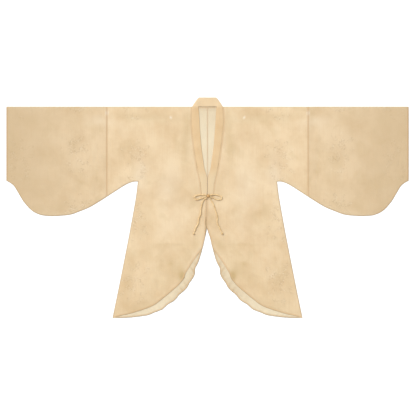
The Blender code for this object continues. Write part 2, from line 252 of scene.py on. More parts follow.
# Finer creases of the front: the pressed fold across each front, the hollow under the
# shoulder, the pull towards the bow and the slack near the armpit and the hem
FRONT_CREASES = (
    Crease(150.0, 684.0, 60.0, 5.0, 2.0, 0.55),
    Crease(140.0, 693.0, 66.0, 6.0, 1.0, -0.5),
    Crease(235.0, 689.0, 40.0, 5.0, -4.0, 0.3),
    Crease(300.0, 66.0, 170.0, 20.0, 0.0, -0.7),
    Crease(130.0, 74.0, 70.0, 16.0, -8.0, -0.5),
    Crease(620.0, 60.0, 130.0, 18.0, 1.0, -0.55),
    Crease(850.0, 70.0, 90.0, 20.0, -3.0, -0.5),
    Crease(70.0, 330.0, 90.0, 12.0, -64.0, 0.6),
    Crease(95.0, 370.0, 95.0, 10.0, -50.0, -0.5),
    Crease(60.0, 400.0, 60.0, 8.0, -30.0, 0.45),
    Crease(50.0, 520.0, 70.0, 9.0, 80.0, 0.5),
    Crease(90.0, 560.0, 80.0, 12.0, 68.0, -0.45),
    Crease(112.0, 852.0, 42.0, 13.0, -52.0, 0.9),
    Crease(92.0, 862.0, 40.0, 9.0, -55.0, -1.0),
    Crease(150.0, 905.0, 60.0, 12.0, -40.0, -0.7),
    Crease(210.0, 880.0, 70.0, 14.0, -66.0, 0.6),
    Crease(258.0, 930.0, 70.0, 12.0, -78.0, -0.6),
    Crease(330.0, 980.0, 55.0, 12.0, 86.0, 0.6),
    Crease(392.0, 985.0, 60.0, 10.0, -76.0, -0.6),
    Crease(355.0, 760.0, 120.0, 14.0, -80.0, -0.5),
    Crease(300.0, 420.0, 80.0, 14.0, -52.0, 0.6),
    Crease(330.0, 440.0, 60.0, 9.0, -60.0, -0.55),
    Crease(392.0, 330.0, 60.0, 10.0, -24.0, 0.55),
    Crease(420.0, 352.0, 60.0, 9.0, -30.0, -0.45),
    Crease(455.0, 210.0, 70.0, 12.0, 78.0, 0.4),
    Crease(552.0, 300.0, 120.0, 14.0, 84.0, -0.5),
    Crease(600.0, 430.0, 70.0, 12.0, -35.0, 0.55),
    Crease(660.0, 180.0, 70.0, 16.0, 60.0, 0.45),
    Crease(700.0, 380.0, 80.0, 15.0, -48.0, -0.55),
    Crease(742.0, 440.0, 60.0, 11.0, -58.0, 0.6),
    Crease(800.0, 150.0, 60.0, 13.0, 48.0, -0.4),
    Crease(845.0, 430.0, 60.0, 12.0, 66.0, 0.6),
    Crease(900.0, 330.0, 70.0, 12.0, 58.0, -0.55),
    Crease(935.0, 160.0, 60.0, 11.0, 84.0, 0.5),
    Crease(962.0, 260.0, 60.0, 9.0, 80.0, -0.45),
)

# Similar creases of the back, which rests on the surface: they only rise from it
BACK_CREASES = (
    Crease(210.0, 688.0, 90.0, 6.0, 1.0, 0.5),
    Crease(120.0, 120.0, 80.0, 14.0, -70.0, 0.5),
    Crease(270.0, 300.0, 90.0, 14.0, -55.0, 0.6),
    Crease(330.0, 520.0, 100.0, 12.0, -78.0, 0.5),
    Crease(180.0, 840.0, 90.0, 14.0, -60.0, 0.6),
    Crease(300.0, 920.0, 80.0, 13.0, -80.0, 0.6),
    Crease(390.0, 940.0, 70.0, 10.0, -76.0, 0.5),
    Crease(420.0, 340.0, 60.0, 10.0, -28.0, 0.5),
    Crease(610.0, 260.0, 90.0, 16.0, 70.0, 0.5),
    Crease(730.0, 420.0, 70.0, 13.0, -50.0, 0.6),
    Crease(860.0, 300.0, 80.0, 14.0, 62.0, 0.5),
    Crease(950.0, 200.0, 70.0, 11.0, 82.0, 0.4),
)


# Painted shade in the front's folds, hollows and gaps, painted light on its lighter
# stretches, and two small pale spots, as the photograph shows them: a share of the deeper
# colour, or below zero of the paler one
PAINTED_SHADE_AND_LIGHT = (
    Crease(330.0, 48.0, 150.0, 22.0, 0.0, 0.25),
    Crease(108.0, 160.0, 170.0, 22.0, -86.0, 0.34),
    Crease(124.0, 848.0, 27.0, 20.0, 84.0, 1.1),
    Crease(148.0, 815.0, 62.0, 30.0, -50.0, 0.24),
    Crease(183.0, 785.0, 18.0, 13.0, 0.0, 0.4),
    Crease(165.0, 770.0, 150.0, 80.0, -56.0, 0.18),
    Crease(410.0, 1010.0, 80.0, 40.0, -14.0, 0.12),
    Crease(310.0, 950.0, 170.0, 70.0, -60.0, 0.14),
    Crease(300.0, 1000.0, 90.0, 26.0, -26.0, 0.18),
    Crease(60.0, 690.0, 42.0, 20.0, -66.0, 0.35),
    Crease(395.0, 860.0, 130.0, 26.0, -76.0, 0.2),
    Crease(335.0, 330.0, 80.0, 34.0, 88.0, -0.3),
    Crease(300.0, 560.0, 120.0, 34.0, -78.0, 0.16),
    Crease(180.0, 690.0, 90.0, 10.0, 0.0, 0.14),
    Crease(200.0, 400.0, 120.0, 70.0, -70.0, -0.25),
    Crease(170.0, 600.0, 110.0, 60.0, -70.0, -0.12),
    Crease(60.0, 420.0, 60.0, 26.0, 80.0, 0.2),
    Crease(0.0, 583.0, 21.0, 3.0, 90.0, 0.6),
    Crease(560.0, 70.0, 120.0, 30.0, 6.0, -0.2),
    Crease(640.0, 60.0, 60.0, 30.0, 0.0, 0.18),
    Crease(600.0, 350.0, 110.0, 50.0, -76.0, 0.12),
    Crease(880.0, 80.0, 60.0, 36.0, 30.0, 0.3),
    Crease(870.0, 380.0, 60.0, 40.0, 60.0, 0.22),
    Crease(975.0, 200.0, 190.0, 30.0, 90.0, 0.22),
    Crease(720.0, 500.0, 120.0, 26.0, -8.0, 0.16),
    Crease(503.0, 32.0, 9.0, 6.0, 90.0, -1.6),
    Crease(183.5, 54.0, 7.0, 4.5, 60.0, -1.4),
)


@dataclass(frozen=True)
class Lie:
    """How the two layers lie on the surface and on each other, in millimetres."""

    back_rest: float = 0.45
    front_rest: float = 2.2
    pinch: float = 0.75
    pinch_reach: float = 16.0
    fold_margin: float = 40.0
    front_margin: float = 15.0
    hem_fold_reach: float = 34.0
    hem_fold_length: float = 38.0
    crumple: float = 0.28
    pucker: float = 0.16
    pucker_length: float = 13.0

    def margins(self, places: np.ndarray) -> dict[str, np.ndarray]:
        """Distances of the places from the edges and seams of the jacket.

        Args:
            places: Out and down of each place.

        Returns:
            Distances under the names closed, front, back_hem, cuff and sleeve_seam.
        """
        closed = np.vstack([smooth(CUT.side_seam, 600), smooth(CUT.underarm, 600)])
        front = np.vstack([smooth(CUT.neck, 400), smooth(CUT.front_hem, 600)])
        return {
            "closed": distance_to(closed, places),
            "front": distance_to(front, places),
            "back_hem": distance_to(CUT.waved_back_hem(), places),
            "cuff": CUT.cuff_out - places[:, 0],
            "sleeve_seam": np.abs(places[:, 0] - CUT.sleeve_seam_out),
        }

    def crumples(self, places: np.ndarray, seed: float) -> np.ndarray:
        """Small uneven swells of cloth that has been pressed and then handled."""
        heights = [
            noise.fractal((out / 70.0, down / 58.0, seed), 0.8, 2.1, 3) for out, down in places
        ]
        return np.array(heights) * self.crumple

    def puckers(self, places: np.ndarray, margins: dict[str, np.ndarray]) -> np.ndarray:
        """Tiny gathers beside the sewn seams."""
        along = places[:, 0] * 0.7 + places[:, 1]
        wave = np.sin(along * 2 * math.pi / self.pucker_length + 2.1 * np.sin(along / 41.0))
        near = np.exp(-((margins["sleeve_seam"] / 9.0) ** 2))
        near += np.exp(-((margins["closed"] / 12.0) ** 2))
        return self.pucker * wave * near

    def tone(self, places: np.ndarray, margins: dict[str, np.ndarray],
             layer: Layer) -> np.ndarray:
        """Painted shade, or below zero painted light, on the cloth.

        Args:
            places: Out and down of each place.
            margins: Distances of the places from the edges and seams.
            layer: Which layer the places are in.

        Returns:
            Values from -1 to 1.
        """
        if layer is Layer.FRONT:
            return np.clip(sum(patch.at(places) for patch in PAINTED_SHADE_AND_LIGHT), -1, 1)
        # Painted shade on the back's hem strip, which lies in the front's shadow, darkest along
        # its small folds
        strip = np.exp(-((margins["back_hem"] / self.hem_fold_reach) ** 2))
        below = soft_step(places[:, 1], CUT.vent_down, CUT.vent_down + 130)
        fading = np.sin(places[:, 0] / 37.0 + places[:, 1] / 53.0) ** 2
        # Towards the hem's points the strip lies flat and catches the light
        flat = 1 - 0.85 * soft_step(places[:, 1], 915, 985)
        hem = strip * below * flat * (0.28 + 0.4 * fading * self.ripple(places) ** 3)
        # In the neck the cloth lies in the collar's shade, behind a turned edge 20 mm deep
        near = places[:, 0] < CUT.neck_out
        shade = 0.14 * (1 - soft_step(places[:, 1], 20, 150))
        shade += 0.12 * (1 - soft_step(places[:, 1], 18, 22))
        return hem + near * shade

    def edge_line(self, places: np.ndarray, layer: Layer) -> np.ndarray:
        """Strength of the dark line along an open edge: the turned edge, with painted shadow
        beside it.

        Args:
            places: Out and down of each place.
            layer: Which layer the places are in.

        Returns:
            Shares of the edge's colour, from 0 to 1.
        """
        out, down = places[:, 0], places[:, 1]
        if layer is Layer.BACK:
            return np.full(len(places), 0.8)
        # The fronts meet in a faint line of painted shadow that darkens above the vent
        meeting = (1 - soft_step(out, 4, 16)) * (1 - soft_step(down, 545, 562))
        # Where the front's edge turns away it lies close, with hardly any shadow
        close = soft_step(down, 715, 740) * (1 - soft_step(down, 820, 868))
        near_vent = (1 - soft_step(out, 4, 16)) * soft_step(down, 545, 562)
        return 0.55 * (1 - 0.75 * meeting) * (1 - 0.6 * close) + 0.4 * near_vent

    def ripple(self, places: np.ndarray) -> np.ndarray:
        """Small folds along the back's hem, from 0 to 1."""
        along = places[:, 0] * 0.93 + places[:, 1] * 0.75
        uneven = 3.2 * np.sin(along / 61.0) + 1.7 * np.sin(along / 23.0 + 1.0)
        return 0.5 + 0.5 * np.sin(along * 2 * math.pi / self.hem_fold_length + uneven)

    def back(self, places: np.ndarray, margins: dict[str, np.ndarray]) -> np.ndarray:
        """Height of the back layer above the surface."""
        height = self.back_rest + 0.5 * np.abs(self.crumples(places, 7.3))
        for crease in BACK_CREASES:
            height += crease.at(places) * soft_step(margins["back_hem"], 0, 40)
        strip = np.exp(-((margins["back_hem"] / self.hem_fold_reach) ** 2))
        below_vent = soft_step(places[:, 1], CUT.vent_down + 60, CUT.vent_down + 130)
        slack = strip * below_vent * soft_step(margins["closed"], 5, 40)
        height += 1.2 * self.ripple(places) ** 2 * slack
        return height + 0.4 * np.abs(self.puckers(places, margins))

    def front(self, places: np.ndarray, margins: dict[str, np.ndarray]) -> np.ndarray:
        """Height of the front layer above the surface."""
        inside = np.minimum(margins["closed"], margins["cuff"])
        inside = np.minimum(inside, np.maximum(margins["front"] - self.front_margin, 0))
        inside = np.minimum(inside, places[:, 1])
        lift = sum(fold.at(places) for fold in SOFT_FOLDS)
        height = self.front_rest + lift * soft_step(inside, 0, self.fold_margin)
        fine = sum(crease.at(places) for crease in FRONT_CREASES)
        height += fine * soft_step(np.minimum(margins["closed"], places[:, 1]), 2, 22)
        height += self.crumples(places, 1.9) * soft_step(inside, 0, 18)
        height += self.puckers(places, margins)
        height += 0.3 * np.exp(-((margins["sleeve_seam"] / 7.0) ** 2))
        height -= 0.3 * np.exp(-((margins["sleeve_seam"] / 2.5) ** 2))
        return height

    def pinched(self, low: np.ndarray, high: np.ndarray, closed: np.ndarray) -> np.ndarray:
        """The upper height drawn down to the lower one where the layers are sewn."""
        near = np.exp(-closed / self.pinch_reach)
        return high * (1 - near) + (low + self.pinch) * near


LIE = Lie()


def add_node(tree: bpy.types.NodeTree, kind: str, inputs: dict | None = None,
             **settings: object) -> bpy.types.Node:
    """Add one node with its settings, values and links.

    Args:
        tree: The node tree that gets it.
        kind: Blender's name of the node.
        inputs: Socket name or number, with a value, a socket or a node to link.
        settings: Properties of the node itself.

    Returns:
        The new node.
    """
    made = tree.nodes.new(kind)
    for key, value in settings.items():
        setattr(made, key, value)
    for key, value in (inputs or {}).items():
        if isinstance(value, bpy.types.Node):
            value = value.outputs[0]
        if isinstance(value, bpy.types.NodeSocket):
            tree.links.new(value, made.inputs[key])
        else:
            made.inputs[key].default_value = value
    return made


@dataclass(frozen=True)
class Leaf:
    """One leaf of the woven figure: middle, turn and half sizes in millimetres."""

    x: float
    y: float
    turn: float
    half_length: float
    half_width: float


@dataclass(frozen=True)
class Blossom:
    """One open flower of the woven figure: middle, radius and number of petals."""

    x: float
    y: float
    radius: float
    petals: int


@dataclass(frozen=True)
class WovenFigure:
    """A large loose spray of flowers and leaves, tone on tone, in a straight repeat."""

    width: float = 290.0
    height: float = 305.0
    first_out: float = 75.0
    first_y: float = 285.0
    drop: float = 38.0
    outline: float = 0.16
    fill: float = 0.4
    blossoms: tuple = (
        Blossom(8.0, 22.0, 36.0, 6), Blossom(-38.0, -48.0, 22.0, 5),
        Blossom(44.0, -62.0, 17.0, 5),
    )
    leaves: tuple = (
        Leaf(52.0, 46.0, 40.0, 26.0, 10.0), Leaf(58.0, 12.0, -12.0, 22.0, 8.0),
        Leaf(36.0, -24.0, -52.0, 24.0, 9.0), Leaf(-2.0, -32.0, -96.0, 20.0, 8.0),
        Leaf(-38.0, 4.0, 22.0, 22.0, 9.0), Leaf(-44.0, 36.0, -24.0, 24.0, 8.5),
        Leaf(-24.0, 68.0, -62.0, 19.0, 9.0), Leaf(16.0, 74.0, 82.0, 17.0, 9.5),
        Leaf(6.0, -82.0, -76.0, 34.0, 2.4), Leaf(24.0, -98.0, 24.0, 20.0, 8.0),
        Leaf(-18.0, -100.0, 152.0, 18.0, 7.5), Leaf(-62.0, -66.0, 34.0, 14.0, 6.0),
    )

    def mask(self, tree: bpy.types.NodeTree, across: bpy.types.NodeSocket,
             up: bpy.types.NodeSocket) -> bpy.types.Node:
        """Node that is 1 on the figure's lines and 0 on the ground.

        Args:
            tree: The material's node tree.
            across: Distance from the centre line, in metres.
            up: Height along the cloth, in metres.

        Returns:
            The node whose first output is the mask.
        """
        wide, high = self.width * MM, self.height * MM
        start = add_node(tree, "ShaderNodeMath", {0: across, 1: self.first_out * MM},
                         operation="SUBTRACT")
        column = add_node(tree, "ShaderNodeMath", {0: start, 1: wide}, operation="DIVIDE")
        column = add_node(tree, "ShaderNodeMath", {0: column}, operation="ROUND")
        odd = add_node(tree, "ShaderNodeMath", {0: column, 1: 2.0}, operation="FLOORED_MODULO")
        level = add_node(tree, "ShaderNodeMath", {0: up, 1: self.first_y * MM},
                         operation="SUBTRACT")
        level = add_node(tree, "ShaderNodeMath", {0: odd, 1: self.drop * MM, 2: level},
                         operation="MULTIPLY_ADD")
        row = add_node(tree, "ShaderNodeMath", {0: level, 1: high}, operation="DIVIDE")
        row = add_node(tree, "ShaderNodeMath", {0: row}, operation="ROUND")
        facing = add_node(tree, "ShaderNodeMath", {0: row, 1: column}, operation="ADD")
        facing = add_node(tree, "ShaderNodeMath", {0: facing, 1: 2.0},
                          operation="FLOORED_MODULO")
        facing = add_node(tree, "ShaderNodeMath", {0: facing, 1: -2.0, 2: 1.0},
                          operation="MULTIPLY_ADD")
        u = add_node(tree, "ShaderNodeMath", {0: start, 1: wide / 2, 2: -wide / 2},
                     operation="WRAP")
        u = add_node(tree, "ShaderNodeMath", {0: u, 1: facing}, operation="MULTIPLY")
        v = add_node(tree, "ShaderNodeMath", {0: level, 1: high / 2, 2: -high / 2},
                     operation="WRAP")
        cell = add_node(tree, "ShaderNodeCombineXYZ", {"X": u, "Y": v})
        waver = add_node(tree, "ShaderNodeTexNoise", {"Vector": cell, "Scale": 60.0})
        waver = add_node(tree, "ShaderNodeVectorMath",
                         {0: waver.outputs["Color"], 1: (0.5, 0.5, 0.5)},
                         operation="SUBTRACT")
        cell = add_node(tree, "ShaderNodeVectorMath",
                        {0: waver, 1: (12 * MM, 12 * MM, 0.0), 2: cell},
                        operation="MULTIPLY_ADD")
        sizes = []
        for blossom in self.blossoms:
            own = add_node(tree, "ShaderNodeVectorMath",
                           {0: cell, 1: (blossom.x * MM, blossom.y * MM, 0.0)},
                           operation="SUBTRACT")
            axes = add_node(tree, "ShaderNodeSeparateXYZ", {"Vector": own})
            turn = add_node(tree, "ShaderNodeMath",
                            {0: axes.outputs["Y"], 1: axes.outputs["X"]},
                            operation="ARCTAN2")
            turn = add_node(tree, "ShaderNodeMath", {0: turn, 1: float(blossom.petals)},
                            operation="MULTIPLY")
            lobe = add_node(tree, "ShaderNodeMath", {0: turn}, operation="COSINE")
            rim = add_node(tree, "ShaderNodeMath",
                           {0: lobe, 1: 0.17 * blossom.radius * MM,
                            2: 0.83 * blossom.radius * MM}, operation="MULTIPLY_ADD")
            reach = add_node(tree, "ShaderNodeVectorMath", {0: own}, operation="LENGTH")
            whole = add_node(tree, "ShaderNodeMath",
                             {0: reach.outputs["Value"], 1: rim}, operation="DIVIDE")
            sizes.append(whole)
            heart = add_node(tree, "ShaderNodeMath", {0: whole, 1: 2.9}, operation="MULTIPLY")
            sizes.append(heart)
        for leaf in self.leaves:
            own = add_node(tree, "ShaderNodeMapping",
                           {"Vector": cell, "Location": (leaf.x * MM, leaf.y * MM, 0.0),
                            "Rotation": (0.0, 0.0, math.radians(leaf.turn)),
                            "Scale": (leaf.half_length * MM, leaf.half_width * MM, 1.0)},
                           vector_type="TEXTURE")
            size = add_node(tree, "ShaderNodeVectorMath", {0: own}, operation="LENGTH")
            sizes.append(size.outputs["Value"])
        found = None
        for size in sizes:
            off = add_node(tree, "ShaderNodeMath", {0: size, 1: 1.0}, operation="SUBTRACT")
            off = add_node(tree, "ShaderNodeMath", {0: off}, operation="ABSOLUTE")
            line = add_node(tree, "ShaderNodeMapRange",
                            {"Value": off, "From Min": self.outline * 1.5,
                             "From Max": self.outline * 0.4},
                            interpolation_type="SMOOTHSTEP")
            inside = add_node(tree, "ShaderNodeMapRange",
                              {"Value": size, "From Min": 1.05, "From Max": 0.8,
                               "To Max": self.fill}, interpolation_type="SMOOTHSTEP")
            own = add_node(tree, "ShaderNodeMath", {0: line, 1: inside}, operation="MAXIMUM")
            found = own if found is None else add_node(
                tree, "ShaderNodeMath", {0: found, 1: own}, operation="MAXIMUM")
        return found


@dataclass(frozen=True)
class SilkGauze:
    """Undyed silk gauze with a tone-on-tone figure, woven fine and starched lightly.

    Real gauze of this kind has threads 0.3 mm apart with gaps of light between them, so one
    layer over white looks paler than two. The threads here are drawn 1.8 mm apart, because
    finer ones don't show in the picture.
    """

    name: str
    pale: str
    deep: str
    figure: str
    turned: str
    edge: str
    ends: str = "DFC8A2"
    single: str = "F2EBD6"
    light: str = "FFF6E4"
    blotch_and_shade: str = "DCC494"
    shaded: str = "CFB384"
    rim: str = "9C9070"
    figure_share: float = 0.38
    open_share: float = 0.16
    glow_share: float = 0.34
    thread: float = 1.8
    seam_out: float = CUT.sleeve_seam_out

    def build(self) -> bpy.types.Material:
        """Make the material.

        Returns:
            The finished material.
        """
        material = bpy.data.materials.new(self.name)
        material.use_nodes = True
        tree = material.node_tree
        tree.nodes.clear()
        where = add_node(tree, "ShaderNodeTexCoord").outputs["Object"]
        axes = add_node(tree, "ShaderNodeSeparateXYZ", {"Vector": where})
        across = add_node(tree, "ShaderNodeMath", {0: axes.outputs["X"]}, operation="ABSOLUTE")
        up = axes.outputs["Y"]
        hem = add_node(tree, "ShaderNodeAttribute", attribute_name="hem").outputs["Fac"]
        seam = add_node(tree, "ShaderNodeAttribute", attribute_name="seam").outputs["Fac"]
        front = add_node(tree, "ShaderNodeAttribute", attribute_name="front").outputs["Fac"]
        tone = add_node(tree, "ShaderNodeAttribute", attribute_name="tone").outputs["Fac"]

        # Slubs: threads that are thicker for a hand's breadth
        slub_at = add_node(tree, "ShaderNodeMapping",
                           {"Vector": where, "Scale": (330.0, 9.0, 1.0)})
        slubs = add_node(tree, "ShaderNodeTexNoise",
                         {"Vector": slub_at, "Scale": 1.0, "Detail": 2.0})
        clouds = add_node(tree, "ShaderNodeTexNoise",
                          {"Vector": where, "Scale": 6.5, "Detail": 5.0, "Roughness": 0.62})
        mellow = add_node(tree, "ShaderNodeTexNoise",
                          {"Vector": where, "Scale": 11.0, "Detail": 3.0, "Distortion": 0.6})
        speckle = add_node(tree, "ShaderNodeTexNoise",
                           {"Vector": where, "Scale": 150.0, "Detail": 2.0})
        figure = WovenFigure().mask(tree, across.outputs[0], up)
        # The light catches the satin threads in patches, and near the front they lie flat
        patches = add_node(tree, "ShaderNodeTexNoise",
                           {"Vector": where, "Scale": 26.0, "Detail": 1.0})
        patches = add_node(tree, "ShaderNodeMapRange",
                           {"Value": patches, "From Min": 0.42, "From Max": 0.58,
                            "To Min": 0.12})
        figure = add_node(tree, "ShaderNodeMath", {0: figure, 1: patches},
                          operation="MULTIPLY")
        away = add_node(tree, "ShaderNodeMapRange",
                        {"Value": across, "From Min": 0.16, "From Max": 0.24,
                         "To Min": 0.1})
        figure = add_node(tree, "ShaderNodeMath", {0: figure, 1: away},
                          operation="MULTIPLY")

        # Turned hem, its folded edge, and the allowances inside the seams
        turned = add_node(tree, "ShaderNodeMapRange",
                          {"Value": hem, "From Min": 9 * MM, "From Max": 7.5 * MM},
                          interpolation_type="SMOOTHSTEP")
        edge = add_node(tree, "ShaderNodeMapRange",
                        {"Value": hem, "From Min": 2.8 * MM, "From Max": 1.0 * MM},
                        interpolation_type="SMOOTHSTEP")
        joined = add_node(tree, "ShaderNodeMapRange",
                          {"Value": seam, "From Min": 6 * MM, "From Max": 4.5 * MM},
                          interpolation_type="SMOOTHSTEP")
        beside = add_node(tree, "ShaderNodeMath", {0: across, 1: self.seam_out * MM},
                          operation="SUBTRACT")
        beside = add_node(tree, "ShaderNodeMath", {0: beside}, operation="ABSOLUTE")
        sleeve_join = add_node(tree, "ShaderNodeMapRange",
                               {"Value": beside, "From Min": 6 * MM, "From Max": 3.5 * MM},
                               interpolation_type="SMOOTHSTEP")
        middle = add_node(tree, "ShaderNodeMapRange",
                          {"Value": across, "From Min": 4 * MM, "From Max": 2.2 * MM},
                          interpolation_type="SMOOTHSTEP")
        back_only = add_node(tree, "ShaderNodeMath", {0: 1.0, 1: front}, operation="SUBTRACT")
        middle = add_node(tree, "ShaderNodeMath", {0: middle, 1: back_only},
                          operation="MULTIPLY")
        doubled = add_node(tree, "ShaderNodeMath", {0: joined, 1: sleeve_join},
                           operation="MAXIMUM")
        doubled = add_node(tree, "ShaderNodeMath", {0: doubled, 1: middle},
                           operation="MAXIMUM")
        doubled = add_node(tree, "ShaderNodeMath", {0: doubled, 1: turned},
                           operation="MAXIMUM")
        # Along the shoulder's fold the turned cloth darkens, with painted shade
        top_fold = add_node(tree, "ShaderNodeMapRange",
                            {"Value": up, "From Min": (CUT.shoulder_y - 5) * MM,
                             "From Max": (CUT.shoulder_y - 1) * MM},
                            interpolation_type="SMOOTHSTEP")
        doubled = add_node(tree, "ShaderNodeMath", {0: doubled, 1: top_fold},
                           operation="MAXIMUM")

        # Colour, from the ground outwards
        cloudy = add_node(tree, "ShaderNodeMapRange",
                          {"Value": clouds, "From Min": 0.4, "From Max": 0.66,
                           "To Max": 0.58})
        colour = add_node(tree, "ShaderNodeMix",
                          {"Factor": cloudy, "A": linear(self.pale), "B": linear(self.deep)},
                          data_type="RGBA")
        # Undyed silk mellows unevenly, in blotches about a hand wide
        blotches = add_node(tree, "ShaderNodeMapRange",
                            {"Value": mellow, "From Min": 0.54, "From Max": 0.68,
                             "To Max": 0.2}, interpolation_type="SMOOTHSTEP")
        colour = self._over(tree, colour, blotches, self.blotch_and_shade)
        streaks = add_node(tree, "ShaderNodeMapRange",
                           {"Value": slubs, "From Min": 0.45, "From Max": 0.75,
                            "To Max": 0.22})
        colour = self._over(tree, colour, streaks, self.deep)
        # Painted shade on the front from the tone, and painted light where the tone is below zero
        painted_shade = add_node(tree, "ShaderNodeMath", {0: tone, 1: 0.0}, operation="MAXIMUM")
        painted_front_shade = add_node(tree, "ShaderNodeMath", {0: painted_shade, 1: front}, operation="MULTIPLY")
        colour = self._over(tree, colour, painted_front_shade, self.blotch_and_shade)
        lit = add_node(tree, "ShaderNodeMath", {0: tone, 1: -1.0}, operation="MULTIPLY")
        lit = add_node(tree, "ShaderNodeMath", {0: lit, 1: 0.0}, operation="MAXIMUM")
        colour = self._over(tree, colour, lit, self.light)
        # Each satin float shines at one end and is dull at the other
        for low, high, own in ((0.56, 0.4, self.figure), (0.5, 0.62, self.light)):
            speckled = add_node(tree, "ShaderNodeMapRange",
                                {"Value": speckle, "From Min": low, "From Max": high,
                                 "To Max": self.figure_share})
            shares = add_node(tree, "ShaderNodeMath", {0: figure, 1: speckled},
                              operation="MULTIPLY")
            colour = self._over(tree, colour, shares, own)
        # Darker towards the sleeve ends
        towards_end = add_node(tree, "ShaderNodeMapRange",
                        {"Value": across, "From Min": 0.55, "From Max": 0.95,
                         "To Max": 0.6}, interpolation_type="SMOOTHSTEP")
        colour = self._over(tree, colour, towards_end, self.ends)
        # The back seen alone is painted paler: painted light that the board sends back through a
        # single layer
        alone_share = add_node(tree, "ShaderNodeMath", {0: back_only, 1: 0.66},
                               operation="MULTIPLY")
        colour = self._over(tree, colour, alone_share, self.single)
        shadows = add_node(tree, "ShaderNodeMath", {0: painted_shade, 1: back_only},
                           operation="MULTIPLY")
        colour = self._over(tree, colour, shadows, self.shaded)
        shares = add_node(tree, "ShaderNodeMath", {0: doubled, 1: 0.55}, operation="MULTIPLY")
        colour = self._over(tree, colour, shares, self.turned)
        # The pressed edge of each seam is darker than the cloth beside it
        pressed = add_node(tree, "ShaderNodeMapRange",
                           {"Value": seam, "From Min": 2.6 * MM, "From Max": 0.6 * MM,
                            "To Max": 0.5}, interpolation_type="SMOOTHSTEP")
        colour = self._over(tree, colour, pressed, self.rim)
        # Dark line along the open edges: the turned edge, with painted shadow beside it
        line = add_node(tree, "ShaderNodeAttribute", attribute_name="line").outputs["Fac"]
        line = add_node(tree, "ShaderNodeMath", {0: line, 1: edge}, operation="MULTIPLY")
        shares = add_node(tree, "ShaderNodeMath", {0: line, 1: front}, operation="MULTIPLY")
        colour = self._over(tree, colour, shares, self.edge)
        shares = add_node(tree, "ShaderNodeMath", {0: line, 1: back_only},
                          operation="MULTIPLY")
        colour = self._over(tree, colour, shares, self.rim)

        # Threads for the bump: over and under at the drawn spacing
        turns = 2 * math.pi / (self.thread * MM)
        waves = []
        for axis in (axes.outputs["X"], axes.outputs["Y"]):
            phase = add_node(tree, "ShaderNodeMath", {0: axis, 1: turns},
                             operation="MULTIPLY")
            waves.append(add_node(tree, "ShaderNodeMath", {0: phase}, operation="SINE"))
        threads = add_node(tree, "ShaderNodeMath", {0: waves[0], 1: waves[1]},
                           operation="MULTIPLY")
        relief = add_node(tree, "ShaderNodeMath", {0: slubs, 1: 1.4, 2: threads},
                          operation="MULTIPLY_ADD")
        relief = add_node(tree, "ShaderNodeMath", {0: figure, 1: 0.8, 2: relief},
                          operation="MULTIPLY_ADD")
        normal = add_node(tree, "ShaderNodeBump",
                          {"Height": relief, "Strength": 0.25, "Distance": 0.15 * MM})
        rough = add_node(tree, "ShaderNodeMapRange",
                         {"Value": figure, "To Min": 0.66, "To Max": 0.5})

        cloth = add_node(tree, "ShaderNodeBsdfPrincipled",
                         {"Base Color": colour.outputs["Result"], "Roughness": rough,
                          "Specular IOR Level": 0.3, "Sheen Weight": 0.12,
                          "Sheen Roughness": 0.45, "Normal": normal})
        glow = add_node(tree, "ShaderNodeBsdfTranslucent",
                        {"Color": colour.outputs["Result"], "Normal": normal})
        cloth = add_node(tree, "ShaderNodeMixShader",
                         {0: self.glow_share, 1: cloth, 2: glow})
        gaps = add_node(tree, "ShaderNodeMapRange",
                        {"Value": doubled, "To Min": self.open_share,
                         "To Max": 0.35 * self.open_share})
        open_air = add_node(tree, "ShaderNodeBsdfTransparent")
        cloth = add_node(tree, "ShaderNodeMixShader", {0: gaps, 1: cloth, 2: open_air})
        add_node(tree, "ShaderNodeOutputMaterial", {"Surface": cloth})
        return material

    @staticmethod
    def _over(tree: bpy.types.NodeTree, under: bpy.types.Node, share: bpy.types.Node,
              colour: str) -> bpy.types.Node:
        """Lay a share of one colour over what is there."""
        return add_node(tree, "ShaderNodeMix",
                        {"Factor": share, "A": under.outputs["Result"],
                         "B": linear(colour)}, data_type="RGBA")


